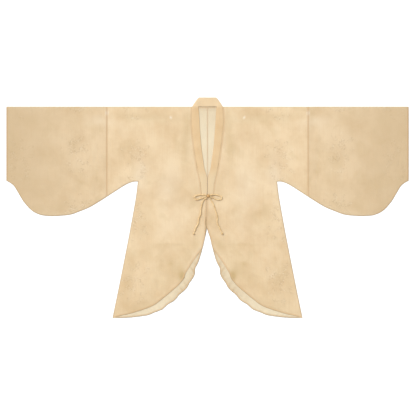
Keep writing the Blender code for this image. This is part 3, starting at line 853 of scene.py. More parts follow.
@dataclass(frozen=True)
class BandSilk:
    """Plain silk folded double for the collar band, denser and warmer than the gauze.

    The same yarn in a closer plain weave: hardly any light comes through. The row of
    stitches along the outer seam shows as a fine line, and the folded edge as a fine line
    of painted shadow.
    """

    name: str = "collar_silk_plain_weave"
    ground: str = "F0D7AD"
    shade: str = "E3C393"
    low_end: str = "EEDBB7"
    lone: str = "FBEDCF"
    stitch_and_shadow: str = "B98F5E"
    glow_share: float = 0.3
    open_share: float = 0.08
    stitch_length: float = 5.0
    thread: float = 1.2

    def build(self) -> bpy.types.Material:
        """Make the material.

        Returns:
            The finished material.
        """
        material = bpy.data.materials.new(self.name)
        material.use_nodes = True
        tree = material.node_tree
        tree.nodes.clear()
        strip = add_node(tree, "ShaderNodeUVMap", uv_map="strip")
        axes = add_node(tree, "ShaderNodeSeparateXYZ", {"Vector": strip})
        where = add_node(tree, "ShaderNodeTexCoord").outputs["Object"]
        slub_at = add_node(tree, "ShaderNodeMapping",
                           {"Vector": strip, "Scale": (14.0, 420.0, 1.0)})
        slubs = add_node(tree, "ShaderNodeTexNoise",
                         {"Vector": slub_at, "Scale": 1.0, "Detail": 2.0})
        clouds = add_node(tree, "ShaderNodeTexNoise",
                          {"Vector": where, "Scale": 14.0, "Detail": 3.0})
        cloudy = add_node(tree, "ShaderNodeMapRange",
                          {"Value": clouds, "From Min": 0.35, "From Max": 0.7,
                           "To Max": 0.6})
        colour = add_node(tree, "ShaderNodeMix",
                          {"Factor": cloudy, "A": linear(self.ground),
                           "B": linear(self.shade)}, data_type="RGBA")
        streaks = add_node(tree, "ShaderNodeMapRange",
                           {"Value": slubs, "From Min": 0.45, "From Max": 0.75,
                            "To Max": 0.5})
        colour = add_node(tree, "ShaderNodeMix",
                          {"Factor": streaks, "A": colour.outputs["Result"],
                           "B": linear(self.shade)}, data_type="RGBA")
        # Behind the neck the band lies on the board alone, and more light comes back through it
        height = add_node(tree, "ShaderNodeSeparateXYZ", {"Vector": where}).outputs["Y"]
        lone = add_node(tree, "ShaderNodeMapRange",
                        {"Value": height, "From Min": (CUT.shoulder_y - 8) * MM,
                         "From Max": (CUT.shoulder_y + 6) * MM, "To Max": 0.35},
                        interpolation_type="SMOOTHSTEP")
        colour = add_node(tree, "ShaderNodeMix",
                          {"Factor": lone, "A": colour.outputs["Result"],
                           "B": linear(self.lone)}, data_type="RGBA")
        # Towards the bow the band turns as pale as the cloth beside it
        towards_end = add_node(tree, "ShaderNodeMapRange",
                        {"Value": height, "From Min": (CUT.shoulder_y - 290) * MM,
                         "From Max": (CUT.shoulder_y - 370) * MM, "To Max": 0.75},
                        interpolation_type="SMOOTHSTEP")
        colour = add_node(tree, "ShaderNodeMix",
                          {"Factor": towards_end, "A": colour.outputs["Result"],
                           "B": linear(self.low_end)}, data_type="RGBA")
        # Small slip stitches 2 mm inside the outer seam, one every few millimetres
        beat = add_node(tree, "ShaderNodeMath",
                        {0: axes.outputs["X"], 1: self.stitch_length * MM, 2: 0.0},
                        operation="WRAP")
        along = add_node(tree, "ShaderNodeMapRange",
                         {"Value": beat, "From Min": 1.6 * MM, "From Max": 1.0 * MM})
        off = add_node(tree, "ShaderNodeMath", {0: axes.outputs["Y"], 1: 0.93},
                       operation="SUBTRACT")
        off = add_node(tree, "ShaderNodeMath", {0: off}, operation="ABSOLUTE")
        across = add_node(tree, "ShaderNodeMapRange",
                          {"Value": off, "From Min": 0.025, "From Max": 0.012})
        stitches_and_shadow = add_node(tree, "ShaderNodeMath", {0: along, 1: across},
                            operation="MULTIPLY")
        stitches_and_shadow = add_node(tree, "ShaderNodeMath", {0: stitches_and_shadow, 1: 0.6},
                            operation="MULTIPLY")
        # Along the folded inner edge a line of painted shadow, from the gap between the
        # bands, strongest where both bands meet
        fold_edge_shadow = add_node(tree, "ShaderNodeMapRange",
                          {"Value": axes.outputs["Y"], "From Min": 0.09, "From Max": 0.02,
                           "To Max": 0.25})
        meeting = add_node(tree, "ShaderNodeMapRange",
                           {"Value": towards_end, "To Min": 0.4, "To Max": 2.0})
        fold_edge_shadow = add_node(tree, "ShaderNodeMath", {0: fold_edge_shadow, 1: meeting},
                          operation="MULTIPLY")
        # The stitches and the painted shadow along the folded edge share the stitch colour
        stitches_and_shadow = add_node(tree, "ShaderNodeMath", {0: stitches_and_shadow, 1: fold_edge_shadow},
                            operation="MAXIMUM")
        colour = add_node(tree, "ShaderNodeMix",
                          {"Factor": stitches_and_shadow, "A": colour.outputs["Result"],
                           "B": linear(self.stitch_and_shadow)}, data_type="RGBA")
        turns = 2 * math.pi / (self.thread * MM)
        waves = []
        for axis in ("X", "Y"):
            phase = add_node(tree, "ShaderNodeSeparateXYZ", {"Vector": where})
            phase = add_node(tree, "ShaderNodeMath", {0: phase.outputs[axis], 1: turns},
                             operation="MULTIPLY")
            waves.append(add_node(tree, "ShaderNodeMath", {0: phase}, operation="SINE"))
        threads = add_node(tree, "ShaderNodeMath", {0: waves[0], 1: waves[1]},
                           operation="MULTIPLY")
        relief = add_node(tree, "ShaderNodeMath", {0: slubs, 1: 1.2, 2: threads},
                          operation="MULTIPLY_ADD")
        relief = add_node(tree, "ShaderNodeMath", {0: stitches_and_shadow, 1: -2.0, 2: relief},
                          operation="MULTIPLY_ADD")
        normal = add_node(tree, "ShaderNodeBump",
                          {"Height": relief, "Strength": 0.3, "Distance": 0.15 * MM})
        cloth = add_node(tree, "ShaderNodeBsdfPrincipled",
                         {"Base Color": colour.outputs["Result"], "Roughness": 0.62,
                          "Specular IOR Level": 0.3, "Sheen Weight": 0.15,
                          "Sheen Roughness": 0.4, "Normal": normal})
        glow = add_node(tree, "ShaderNodeBsdfTranslucent",
                        {"Color": colour.outputs["Result"], "Normal": normal})
        cloth = add_node(tree, "ShaderNodeMixShader",
                         {0: self.glow_share, 1: cloth, 2: glow})
        open_air = add_node(tree, "ShaderNodeBsdfTransparent")
        cloth = add_node(tree, "ShaderNodeMixShader",
                         {0: self.open_share, 1: cloth, 2: open_air})
        add_node(tree, "ShaderNodeOutputMaterial", {"Surface": cloth})
        return material


@dataclass(frozen=True)
class TieSilk:
    """Silk strip sewn into a narrow tube, brownish gold, for the ties and their knots.

    The strip is cut across the grain, so its threads wind round the tube, and it is darker
    in patches, which also raise its bump.
    """

    name: str
    ground: str
    shade: str
    glow_share: float = 0.25
    thread: float = 1.4

    def build(self) -> bpy.types.Material:
        """Make the material.

        Returns:
            The finished material.
        """
        material = bpy.data.materials.new(self.name)
        material.use_nodes = True
        tree = material.node_tree
        tree.nodes.clear()
        where = add_node(tree, "ShaderNodeTexCoord").outputs["Object"]
        patches = add_node(tree, "ShaderNodeTexNoise",
                           {"Vector": where, "Scale": 95.0, "Detail": 3.0})
        shares = add_node(tree, "ShaderNodeMapRange",
                          {"Value": patches, "From Min": 0.38, "From Max": 0.66})
        colour = add_node(tree, "ShaderNodeMix",
                          {"Factor": shares, "A": linear(self.ground),
                           "B": linear(self.shade)}, data_type="RGBA")
        slant = add_node(tree, "ShaderNodeMapping",
                         {"Vector": where, "Rotation": (0.3, 0.2, 0.8)})
        axes = add_node(tree, "ShaderNodeSeparateXYZ", {"Vector": slant})
        turns = 2 * math.pi / (self.thread * MM)
        waves = []
        for axis in ("X", "Y"):
            phase = add_node(tree, "ShaderNodeMath", {0: axes.outputs[axis], 1: turns},
                             operation="MULTIPLY")
            waves.append(add_node(tree, "ShaderNodeMath", {0: phase}, operation="SINE"))
        threads = add_node(tree, "ShaderNodeMath", {0: waves[0], 1: waves[1]},
                           operation="MULTIPLY")
        relief = add_node(tree, "ShaderNodeMath", {0: patches, 1: 3.0, 2: threads},
                          operation="MULTIPLY_ADD")
        normal = add_node(tree, "ShaderNodeBump",
                          {"Height": relief, "Strength": 0.4, "Distance": 0.2 * MM})
        cloth = add_node(tree, "ShaderNodeBsdfPrincipled",
                         {"Base Color": colour.outputs["Result"], "Roughness": 0.58,
                          "Specular IOR Level": 0.35, "Sheen Weight": 0.2,
                          "Sheen Roughness": 0.4, "Normal": normal})
        glow = add_node(tree, "ShaderNodeBsdfTranslucent",
                        {"Color": colour.outputs["Result"], "Normal": normal})
        cloth = add_node(tree, "ShaderNodeMixShader",
                         {0: self.glow_share, 1: cloth, 2: glow})
        add_node(tree, "ShaderNodeOutputMaterial", {"Surface": cloth})
        return material


@dataclass(frozen=True)
class WhiteBoard:
    """Matt white board that the jacket lies on, faintly uneven."""

    name: str = "white_board"
    tone: str = "FBFBFB"

    def build(self) -> bpy.types.Material:
        """Make the material.

        Returns:
            The finished material.
        """
        material = bpy.data.materials.new(self.name)
        material.use_nodes = True
        tree = material.node_tree
        tree.nodes.clear()
        where = add_node(tree, "ShaderNodeTexCoord").outputs["Object"]
        grain = add_node(tree, "ShaderNodeTexNoise", {"Vector": where, "Scale": 40.0})
        normal = add_node(tree, "ShaderNodeBump",
                          {"Height": grain, "Strength": 0.05, "Distance": 0.2 * MM})
        board = add_node(tree, "ShaderNodeBsdfPrincipled",
                         {"Base Color": linear(self.tone), "Roughness": 0.9,
                          "Specular IOR Level": 0.1, "Normal": normal})
        add_node(tree, "ShaderNodeOutputMaterial", {"Surface": board})
        return material


@dataclass
class Skin:
    """Outer skin of one piece of cloth, gathered in strips, in millimetres."""

    points: list = field(default_factory=list)
    faces: list = field(default_factory=list)
    values: dict = field(default_factory=lambda: {
        "hem": [], "seam": [], "front": [], "tone": [], "line": []
    })

    def strip(self, grid: np.ndarray, values: dict[str, np.ndarray], turned: bool) -> None:
        """Add rows of points with the faces between them.

        Args:
            grid: Rows, columns and the three coordinates out, down and height.
            values: Rows and columns of each value that the finish reads.
            turned: True if the faces look up, out of the surface.
        """
        rows, columns = grid.shape[:2]
        start = len(self.points)
        self.points.extend(grid.reshape(-1, 3).tolist())
        for key, kept in self.values.items():
            kept.extend(values[key].reshape(-1).tolist())
        for row in range(rows - 1):
            for column in range(columns - 1):
                a = start + row * columns + column
                corners = (a, a + 1, a + columns + 1, a + columns)
                self.faces.append(corners[::-1] if turned else corners)

    def fold(self, low: np.ndarray, high: np.ndarray, pushes: np.ndarray,
             values: dict[str, np.ndarray], steps: int = 6) -> None:
        """Close two layers along an edge with a half-round turn of cloth.

        Args:
            low: Points of the lower layer along the edge.
            high: Points of the upper layer along the edge.
            pushes: Unit directions outwards, in out and down.
            values: Values of the finish along the edge.
            steps: Strips in the turn.
        """
        middle, radius = (low + high) / 2, (high[:, 2] - low[:, 2]) / 2
        rows = []
        for turn in np.linspace(0, math.pi, steps + 1):
            row = middle.copy()
            row[:, :2] += pushes * (radius * math.sin(turn))[:, None]
            row[:, 2] -= radius * math.cos(turn)
            rows.append(row)
        grid = np.array(rows)
        spread = {key: np.tile(value, (steps + 1, 1)) for key, value in values.items()}
        row, column = steps // 2, len(low) // 2
        along = grid[row, column + 1] - grid[row, column]
        upwards = grid[row + 1, column] - grid[row, column]
        facing = np.cross(along * (1, -1, 1), upwards * (1, -1, 1))
        looks_out = float(np.dot(facing[:2], pushes[column] * (1, -1))) > 0
        self.strip(grid, spread, not looks_out)

    def piece(self, name: str, side: int, finish: bpy.types.Material,
              wall: float) -> bpy.types.Object:
        """Make the object, with a wall that grows inwards.

        Args:
            name: Name of the piece.
            side: 1 for the side at +x, -1 for its mirror image.
            finish: Its material.
            wall: Thickness of the cloth in millimetres.

        Returns:
            The finished piece.
        """
        shape = np.array(self.points) * (side, -1.0, 1.0) + (0.0, CUT.shoulder_y, 0.0)
        faces = self.faces if side > 0 else [corners[::-1] for corners in self.faces]
        mesh = bpy.data.meshes.new(name)
        mesh.from_pydata((shape * MM).tolist(), [], faces)
        for key, kept in self.values.items():
            mesh.attributes.new(key, "FLOAT", "POINT").data.foreach_set("value", kept)
        mesh.materials.append(finish)
        thing = bpy.data.objects.new(name, mesh)
        bpy.context.scene.collection.objects.link(thing)
        joined = bmesh.new()
        joined.from_mesh(mesh)
        bmesh.ops.remove_doubles(joined, verts=joined.verts, dist=0.01 * MM)
        joined.to_mesh(mesh)
        joined.free()
        thicken(thing, wall)
        return thing


def alone(thing: bpy.types.Object) -> None:
    """Leave only this object selected and active."""
    bpy.ops.object.select_all(action="DESELECT")
    thing.select_set(True)
    bpy.context.view_layer.objects.active = thing


def thicken(thing: bpy.types.Object, wall: float) -> None:
    """Give a skin its wall on the inside, and smooth its shading.

    Args:
        thing: Piece whose skin faces outwards.
        wall: Thickness in millimetres.
    """
    alone(thing)
    shell = thing.modifiers.new("wall", "SOLIDIFY")
    shell.thickness = wall * MM
    shell.offset = -1.0
    shell.use_even_offset = True
    bpy.ops.object.modifier_apply(modifier=shell.name)
    bpy.ops.object.shade_smooth_by_angle(angle=math.radians(60))


def outward(places: np.ndarray) -> np.ndarray:
    """Unit directions square to a chain of places, to the right of its direction."""
    steps = unit_steps(places)
    return np.column_stack([-steps[:, 1], steps[:, 0]])


@dataclass
class Garment:
    """What the body and the sleeves share: two layers and the values for the finish."""

    wall: float = 0.6

    def layer(self, places: np.ndarray, open_edge: np.ndarray,
              layer: Layer) -> tuple[np.ndarray, dict[str, np.ndarray]]:
        """Heights and finish values of one layer.

        Args:
            places: Rows and columns of out and down.
            open_edge: Curve of this layer's open edge.
            layer: Which layer it is.

        Returns:
            Rows and columns of points, and of each value.
        """
        shape = places.shape[:2]
        flat = places.reshape(-1, 2)
        margins = LIE.margins(flat)
        shoulder = np.maximum(flat[:, 1], 0)
        closed = np.minimum(margins["closed"], shoulder)
        low = LIE.back(flat, margins)
        settle = soft_step(closed, 0, 12)
        low = LIE.back_rest + (low - LIE.back_rest) * settle
        height = low
        if layer is Layer.FRONT:
            height = LIE.pinched(low, LIE.front(flat, margins), closed)
        hem = distance_to(open_edge, flat)
        points = np.column_stack([flat, height]).reshape(*shape, 3)
        values = {
            "hem": (hem * MM).reshape(shape),
            "seam": (margins["closed"] * MM).reshape(shape),
            "front": np.full(shape, 1.0 if layer is Layer.FRONT else 0.0),
            "tone": LIE.tone(flat, margins, layer).reshape(shape),
            "line": LIE.edge_line(flat, layer).reshape(shape),
        }
        return points, values


def border(points: np.ndarray, values: dict[str, np.ndarray],
           pick: tuple) -> tuple[np.ndarray, dict[str, np.ndarray]]:
    """One edge of a grid with its values.

    Args:
        points: Rows and columns of points.
        values: Rows and columns of each value.
        pick: Index that picks the edge.

    Returns:
        The points and the values along that edge.
    """
    return points[pick], {key: value[pick] for key, value in values.items()}


def joined_values(parts: list[dict[str, np.ndarray]]) -> dict[str, np.ndarray]:
    """Values of several edges, one after the other."""
    return {key: np.concatenate([part[key] for part in parts]) for key in parts[0]}


@dataclass
class Body(Garment):
    """Half of the body with the upper arm: back and front in one length of cloth."""

    side: int = 1
    upper_rows: int = 62
    vent_rows: int = 38
    hem_rows: int = 110
    neck_columns: int = 14
    columns: int = 50
    arm_columns: int = 26
    share_at_vent: float = 0.26
    lean_reach: float = 45.0
    lean: tuple = (
        (330.0, 0.0), (450.0, -3.0), (520.0, -5.0), (560.0, -7.5), (590.0, -8.0),
        (608.0, -5.0), (650.0, 0.0),
    )

    @property
    def name(self) -> str:
        """Name of the piece, by the photograph's side."""
        return "body_cloth_right" if self.side > 0 else "body_cloth_left"

    def rows(self) -> tuple[np.ndarray, np.ndarray, np.ndarray]:
        """Ends of the rows of points.

        Returns:
            Places on the back's edge, on the front's edge and at the side, row by row.
        """
        side = smooth(CUT.side_seam)
        front_hem, back_hem = smooth(CUT.front_hem, 900), CUT.waved_back_hem()
        backs, fronts, seams = [], [], []
        for row in range(self.upper_rows + 1):
            down = CUT.armpit_down * row / self.upper_rows
            backs.append((CUT.half_gap, down))
            fronts.append((CUT.neck_out_at(down), down))
            seams.append((CUT.armpit_out, down))
        for row in range(1, self.vent_rows + 1):
            down = CUT.armpit_down + (CUT.vent_down - CUT.armpit_down) * row / self.vent_rows
            backs.append((CUT.half_gap, down))
            fronts.append((CUT.neck_out_at(down), down))
            seams.append(at_share(side, row / self.vent_rows * self.share_at_vent))
        for row in range(1, self.hem_rows + 1):
            place = row / self.hem_rows
            backs.append(at_share(back_hem, place))
            fronts.append(at_share(front_hem, place))
            seams.append(at_share(side, self.share_at_vent + place * (1 - self.share_at_vent)))
        return np.array(backs), np.array(fronts), np.array(seams)

    def leaning(self, grid: np.ndarray) -> np.ndarray:
        """Shift outwards that makes the opening lean to the left below the bow."""
        down, shift = zip(*self.lean)
        near = np.exp(-((grid[..., 0] / self.lean_reach) ** 2))
        return self.side * np.interp(grid[..., 1], down, shift) * near

    def back_edge(self) -> np.ndarray:
        """The back's open edge: the neck and the hem."""
        neck = np.column_stack([np.linspace(0, CUT.neck_out, 60), np.zeros(60)])
        return np.vstack([neck, CUT.waved_back_hem()])

    def front_edge(self) -> np.ndarray:
        """The front's open edge: neck, centre and hem."""
        centre = np.column_stack([
            np.full(60, CUT.half_gap), np.linspace(CUT.band_end_down, CUT.vent_down, 60)
        ])
        return np.vstack([smooth(CUT.neck), centre, smooth(CUT.front_hem, 900)])

    def build(self, finish: bpy.types.Material) -> bpy.types.Object:
        """Make the piece.

        Args:
            finish: Its material.

        Returns:
            The finished piece.
        """
        backs, fronts, seams = self.rows()
        neck_share = (CUT.neck_out - CUT.half_gap) / (CUT.armpit_out - CUT.half_gap)
        neck = neck_share * np.linspace(0, 1, self.neck_columns + 1)[:-1] ** 1.25
        own = np.linspace(0, 1, self.columns + 1) ** 1.25
        shares = np.concatenate([neck, neck_share + (1 - neck_share) * own])
        skin = Skin()
        back_places = backs[:, None] + (seams - backs)[:, None] * shares[None, :, None]
        front_places = fronts[:, None] + (seams - fronts)[:, None] * own[None, :, None]
        low, low_values = self.layer(back_places, self.back_edge(), Layer.BACK)
        high, high_values = self.layer(front_places, self.front_edge(), Layer.FRONT)
        high[..., 0] += self.leaning(high)
        skin.strip(low, low_values, False)
        skin.strip(high, high_values, True)

        outs = np.linspace(CUT.armpit_out, CUT.sleeve_seam_out - 0.02, self.arm_columns + 1)
        depths = CUT.underarm_down(outs)
        depths[0] = CUT.armpit_down
        downs = np.linspace(0, 1, self.upper_rows + 1)[:, None] * depths[None, :]
        arm_places = np.dstack([np.tile(outs, (len(downs), 1)), downs])
        arm_low, arm_low_values = self.layer(arm_places, self.back_edge(), Layer.BACK)
        arm_high, arm_high_values = self.layer(arm_places, self.front_edge(), Layer.FRONT)
        skin.strip(arm_low, arm_low_values, False)
        skin.strip(arm_high, arm_high_values, True)

        first = (0, slice(self.neck_columns, None))
        top_low, values_a = border(low, low_values, first)
        arm_top_low, values_b = border(arm_low, arm_low_values, (0, slice(1, None)))
        top_high, _ = border(high, high_values, (0, slice(None)))
        arm_top_high, _ = border(arm_high, arm_high_values, (0, slice(1, None)))
        low_edge = np.vstack([top_low, arm_top_low])
        pushes = np.tile((0.0, -1.0), (len(low_edge), 1))
        skin.fold(low_edge, np.vstack([top_high, arm_top_high]), pushes,
                  joined_values([values_a, values_b]))

        below = slice(self.upper_rows, None)
        seam_low, values_a = border(low, low_values, (below, -1))
        arm_low_end, values_b = border(arm_low, arm_low_values, (-1, slice(1, None)))
        seam_high, _ = border(high, high_values, (below, -1))
        arm_high_end, _ = border(arm_high, arm_high_values, (-1, slice(1, None)))
        low_edge = np.vstack([seam_low[::-1], arm_low_end])
        values_a = {key: value[::-1] for key, value in values_a.items()}
        skin.fold(low_edge, np.vstack([seam_high[::-1], arm_high_end]),
                  outward(low_edge[:, :2]), joined_values([values_a, values_b]))
        return skin.piece(self.name, self.side, finish, self.wall)


@dataclass
class Sleeve(Garment):
    """Lute-shaped sleeve: a flattened tube that widens to a deep curve and narrows again."""

    side: int = 1
    columns: int = 88
    rows: int = 72

    @property
    def name(self) -> str:
        """Name of the piece, by the photograph's side."""
        return "sleeve_cloth_right" if self.side > 0 else "sleeve_cloth_left"

    def build(self, finish: bpy.types.Material) -> bpy.types.Object:
        """Make the piece.

        Args:
            finish: Its material.

        Returns:
            The finished piece.
        """
        share = np.linspace(0, 1, self.columns + 1)
        share -= 0.08 * np.sin(2 * math.pi * share)
        start = CUT.sleeve_seam_out + 0.02
        outs = start + (CUT.cuff_out - start) * share
        depths = CUT.underarm_down(outs)
        downs = np.linspace(0, 1, self.rows + 1)[:, None] * depths[None, :]
        places = np.dstack([np.tile(outs, (len(downs), 1)), downs])
        cuff = np.column_stack([np.full(200, CUT.cuff_out), np.linspace(-40, 420, 200)])
        low, low_values = self.layer(places, cuff, Layer.BACK)
        high, high_values = self.layer(places, cuff, Layer.FRONT)
        skin = Skin()
        skin.strip(low, low_values, False)
        skin.strip(high, high_values, True)
        top, values = border(low, low_values, (0, slice(None)))
        skin.fold(top, high[0], np.tile((0.0, -1.0), (len(top), 1)), values)
        bottom, values = border(low, low_values, (-1, slice(None)))
        skin.fold(bottom, high[-1], outward(bottom[:, :2]), values)
        return skin.piece(self.name, self.side, finish, self.wall)


@dataclass
class Collar:
    """One long band down both fronts and round the back of the neck, folded double."""

    wall: float = 0.5
    height: float = 1.5
    overlap: float = 1.6
    turns: int = 7
    across: int = 16
    front_rings: int = 110
    neck_rings: int = 9
    inner: tuple = (
        (0.0, 45.6), (27.0, 42.5), (92.0, 39.0), (155.0, 34.5), (217.0, 29.0),
        (262.0, 22.0), (307.0, 15.5), (330.0, 8.5), (352.0, 1.2), (358.0, 0.6),
        (452.0, 0.6),
    )
    neck: tuple = (
        (45.6, 1.0, 75.0, -3.0, 1.3), (45.0, -0.5, 66.0, -18.0, 1.1),
        (42.0, -0.5, 50.0, -40.0, 0.7), (36.0, -0.5, 43.0, -46.25, 0.3),
        (18.0, -0.5, 22.0, -46.25, 0.3), (0.0, -0.5, 0.0, -46.25, 0.3),
    )

    def sections(self) -> np.ndarray:
        """Inner place, outer place and height of each ring, right half from the front end.

        Returns:
            Rows of inner out, inner down, outer out, outer down and height.
        """
        inner = np.array(self.inner)
        rows = []
        for down in np.linspace(CUT.band_end_down, 2.0, self.front_rings):
            outer = CUT.neck_out_at(min(down, CUT.band_end_down - 0.01)) + self.overlap
            rows.append((float(np.interp(down, inner[:, 0], inner[:, 1])), down, outer, down,
                         LIE.front_rest - 0.75))
        for near, far in zip((rows[-1], *self.neck), self.neck):
            for step in range(1, self.neck_rings + 1):
                share = step / self.neck_rings
                rows.append(tuple(a + (b - a) * share for a, b in zip(near, far)))
        return np.array(rows)

    def profile(self) -> np.ndarray:
        """Shape across the band: share of its width from the inner edge, and height.

        Returns:
            Places from the outer edge under the band, round the fold, to the outer edge above.
        """
        lower = [(1 - step / 6, 0.0) for step in range(6)]
        reach = 0.05
        fold = [
            (reach - reach * math.sin(turn), 0.5 - 0.5 * math.cos(turn))
            for turn in np.linspace(0, math.pi, self.turns)
        ]
        upper = []
        for step in range(1, self.across + 1):
            share = reach + (1 - reach) * step / self.across
            crown = 1.0 + 0.22 * math.sin(math.pi * share) - 0.16 * math.exp(
                -(((share - 0.93) / 0.03) ** 2))
            drop = 0.5 * max(0.0, (share - 0.92) / 0.08)
            upper.append((share, crown - drop))
        return np.array([*lower, *fold, *upper])

    def build(self, finish: bpy.types.Material) -> bpy.types.Object:
        """Make the band.

        Args:
            finish: Its material.

        Returns:
            The finished piece.
        """
        right = self.sections()
        mirrored = right[-2::-1] * (-1, 1, -1, 1, 1)
        rings = np.vstack([right, mirrored])
        profile = self.profile()
        middle = (rings[:, :2] + rings[:, 2:4]) / 2
        along = arc_lengths(middle)
        points, faces, uvs = [], [], []
        for ring, place in zip(rings, along):
            inner, outer = ring[:2], ring[2:4]
            ripple = 0.12 * math.sin(place / 23.0) + 0.1 * math.sin(place / 9.1 + 1.0)
            for share, level in profile:
                out, down = inner + (outer - inner) * share
                points.append((out, -down + CUT.shoulder_y,
                               ring[4] + self.height * level + ripple * level))
                uvs.append((place * MM, share))
        width = len(profile)
        for ring in range(len(rings) - 1):
            for k in range(width - 1):
                a = ring * width + k
                faces.append((a, a + 1, a + width + 1, a + width))
        mesh = bpy.data.meshes.new("collar_band")
        mesh.from_pydata((np.array(points) * MM).tolist(), [], faces)
        strip = mesh.uv_layers.new(name="strip")
        for loop in mesh.loops:
            strip.data[loop.index].uv = uvs[loop.vertex_index]
        mesh.materials.append(finish)
        thing = bpy.data.objects.new("collar_band", mesh)
        bpy.context.scene.collection.objects.link(thing)
        thicken(thing, self.wall)
        return thing


@dataclass
class Tie:
    """One stretch of a tie: a limp silk tube that lies along its route."""

    name: str
    route: tuple
    diameter: float = 6.0
    flatness: float = 0.78
    rest: float = 5.1
    step: float = 2.0
    around: int = 16

    def path(self) -> np.ndarray:
        """Centre line in metres, from the knot outwards."""
        knots = [(x, CUT.shoulder_y - down, self.rest + lift) for x, down, lift in self.route]
        length = float(np.linalg.norm(np.diff(np.array(knots), axis=0), axis=1).sum())
        return smooth(knots, max(15, round(length / self.step))) * MM

    def build(self, finish: bpy.types.Material) -> bpy.types.Object:
        """Make the tube, a little flattened by its own weight, with small creases.

        Args:
            finish: Its material.

        Returns:
            The finished piece.
        """
        path = self.path()
        steps = unit_steps(path)
        along = arc_lengths(path) / MM
        points, faces = [], []
        for place, step, reach in zip(path, steps, along):
            flat = np.array((-step[1], step[0], 0.0))
            flat /= np.linalg.norm(flat)
            upright = np.cross(step, flat)
            upright *= math.copysign(1.0, upright[2])
            size = 1.0 + 0.05 * math.sin(reach / 3.1) + 0.04 * math.sin(reach / 7.7 + 2.0)
            for turn in np.linspace(0, 2 * math.pi, self.around, endpoint=False):
                ridge = 1.0 + 0.035 * math.sin(3 * turn + reach / 5.0)
                wide = math.cos(turn) * self.diameter / 2 * size * ridge
                high = math.sin(turn) * self.diameter / 2 * self.flatness * size * ridge
                points.append(tuple(place + flat * wide * MM + upright * high * MM))
        for ring in range(len(path) - 1):
            for k in range(self.around):
                a, b = ring * self.around + k, ring * self.around + (k + 1) % self.around
                faces.append((a, b, b + self.around, a + self.around))
        last = (len(path) - 1) * self.around
        faces.append(tuple(range(self.around))[::-1])
        faces.append(tuple(last + k for k in range(self.around)))
        mesh = bpy.data.meshes.new(self.name)
        mesh.from_pydata(points, [], faces)
        mesh.materials.append(finish)
        thing = bpy.data.objects.new(self.name, mesh)
        bpy.context.scene.collection.objects.link(thing)
        alone(thing)
        bpy.ops.object.mode_set(mode="EDIT")
        bpy.ops.mesh.select_all(action="SELECT")
        bpy.ops.mesh.normals_make_consistent(inside=False)
        bpy.ops.object.mode_set(mode="OBJECT")
        bpy.ops.object.shade_smooth_by_angle(angle=math.radians(60))
        return thing


@dataclass
class Knot:
    """A small tight knot of the tie silk, with the turns of the strip drawn round it."""

    name: str
    place: tuple
    size: tuple
    rest: float
    turn: float = 0.0
    wraps: float = 2.5

    def build(self, finish: bpy.types.Material) -> bpy.types.Object:
        """Make the knot.

        Args:
            finish: Its material.

        Returns:
            The finished piece.
        """
        bpy.ops.object.select_all(action="DESELECT")
        bpy.ops.mesh.primitive_uv_sphere_add(segments=48, ring_count=32, radius=0.5)
        thing = bpy.context.object
        thing.name = thing.data.name = self.name
        cos, sin = math.cos(self.turn), math.sin(self.turn)
        middle = (self.place[0], CUT.shoulder_y - self.place[1],
                  self.rest + self.size[2] / 2)
        for corner in thing.data.vertices:
            x, y, z = corner.co * 2
            # Squarer than a ball, pinched where the strip crosses over itself
            x, y, z = (math.copysign(abs(v) ** 0.82, v) for v in (x, y, z))
            angle = math.atan2(z, y)
            groove = math.cos(self.wraps * math.pi * x + 0.9 * math.sin(angle))
            swell = 1.0 + 0.07 * groove - 0.05 * math.cos(3 * angle + 4 * x)
            x, y, z = x * 0.98, y * swell, z * swell
            x, y = x * self.size[0] / 2, y * self.size[1] / 2
            z *= self.size[2] / 2
            corner.co = Vector((x * cos - y * sin + middle[0], x * sin + y * cos + middle[1],
                                z + middle[2])) * MM
        thing.data.materials.append(finish)
        alone(thing)
        bpy.ops.object.shade_smooth_by_angle(angle=math.radians(60))
        return thing


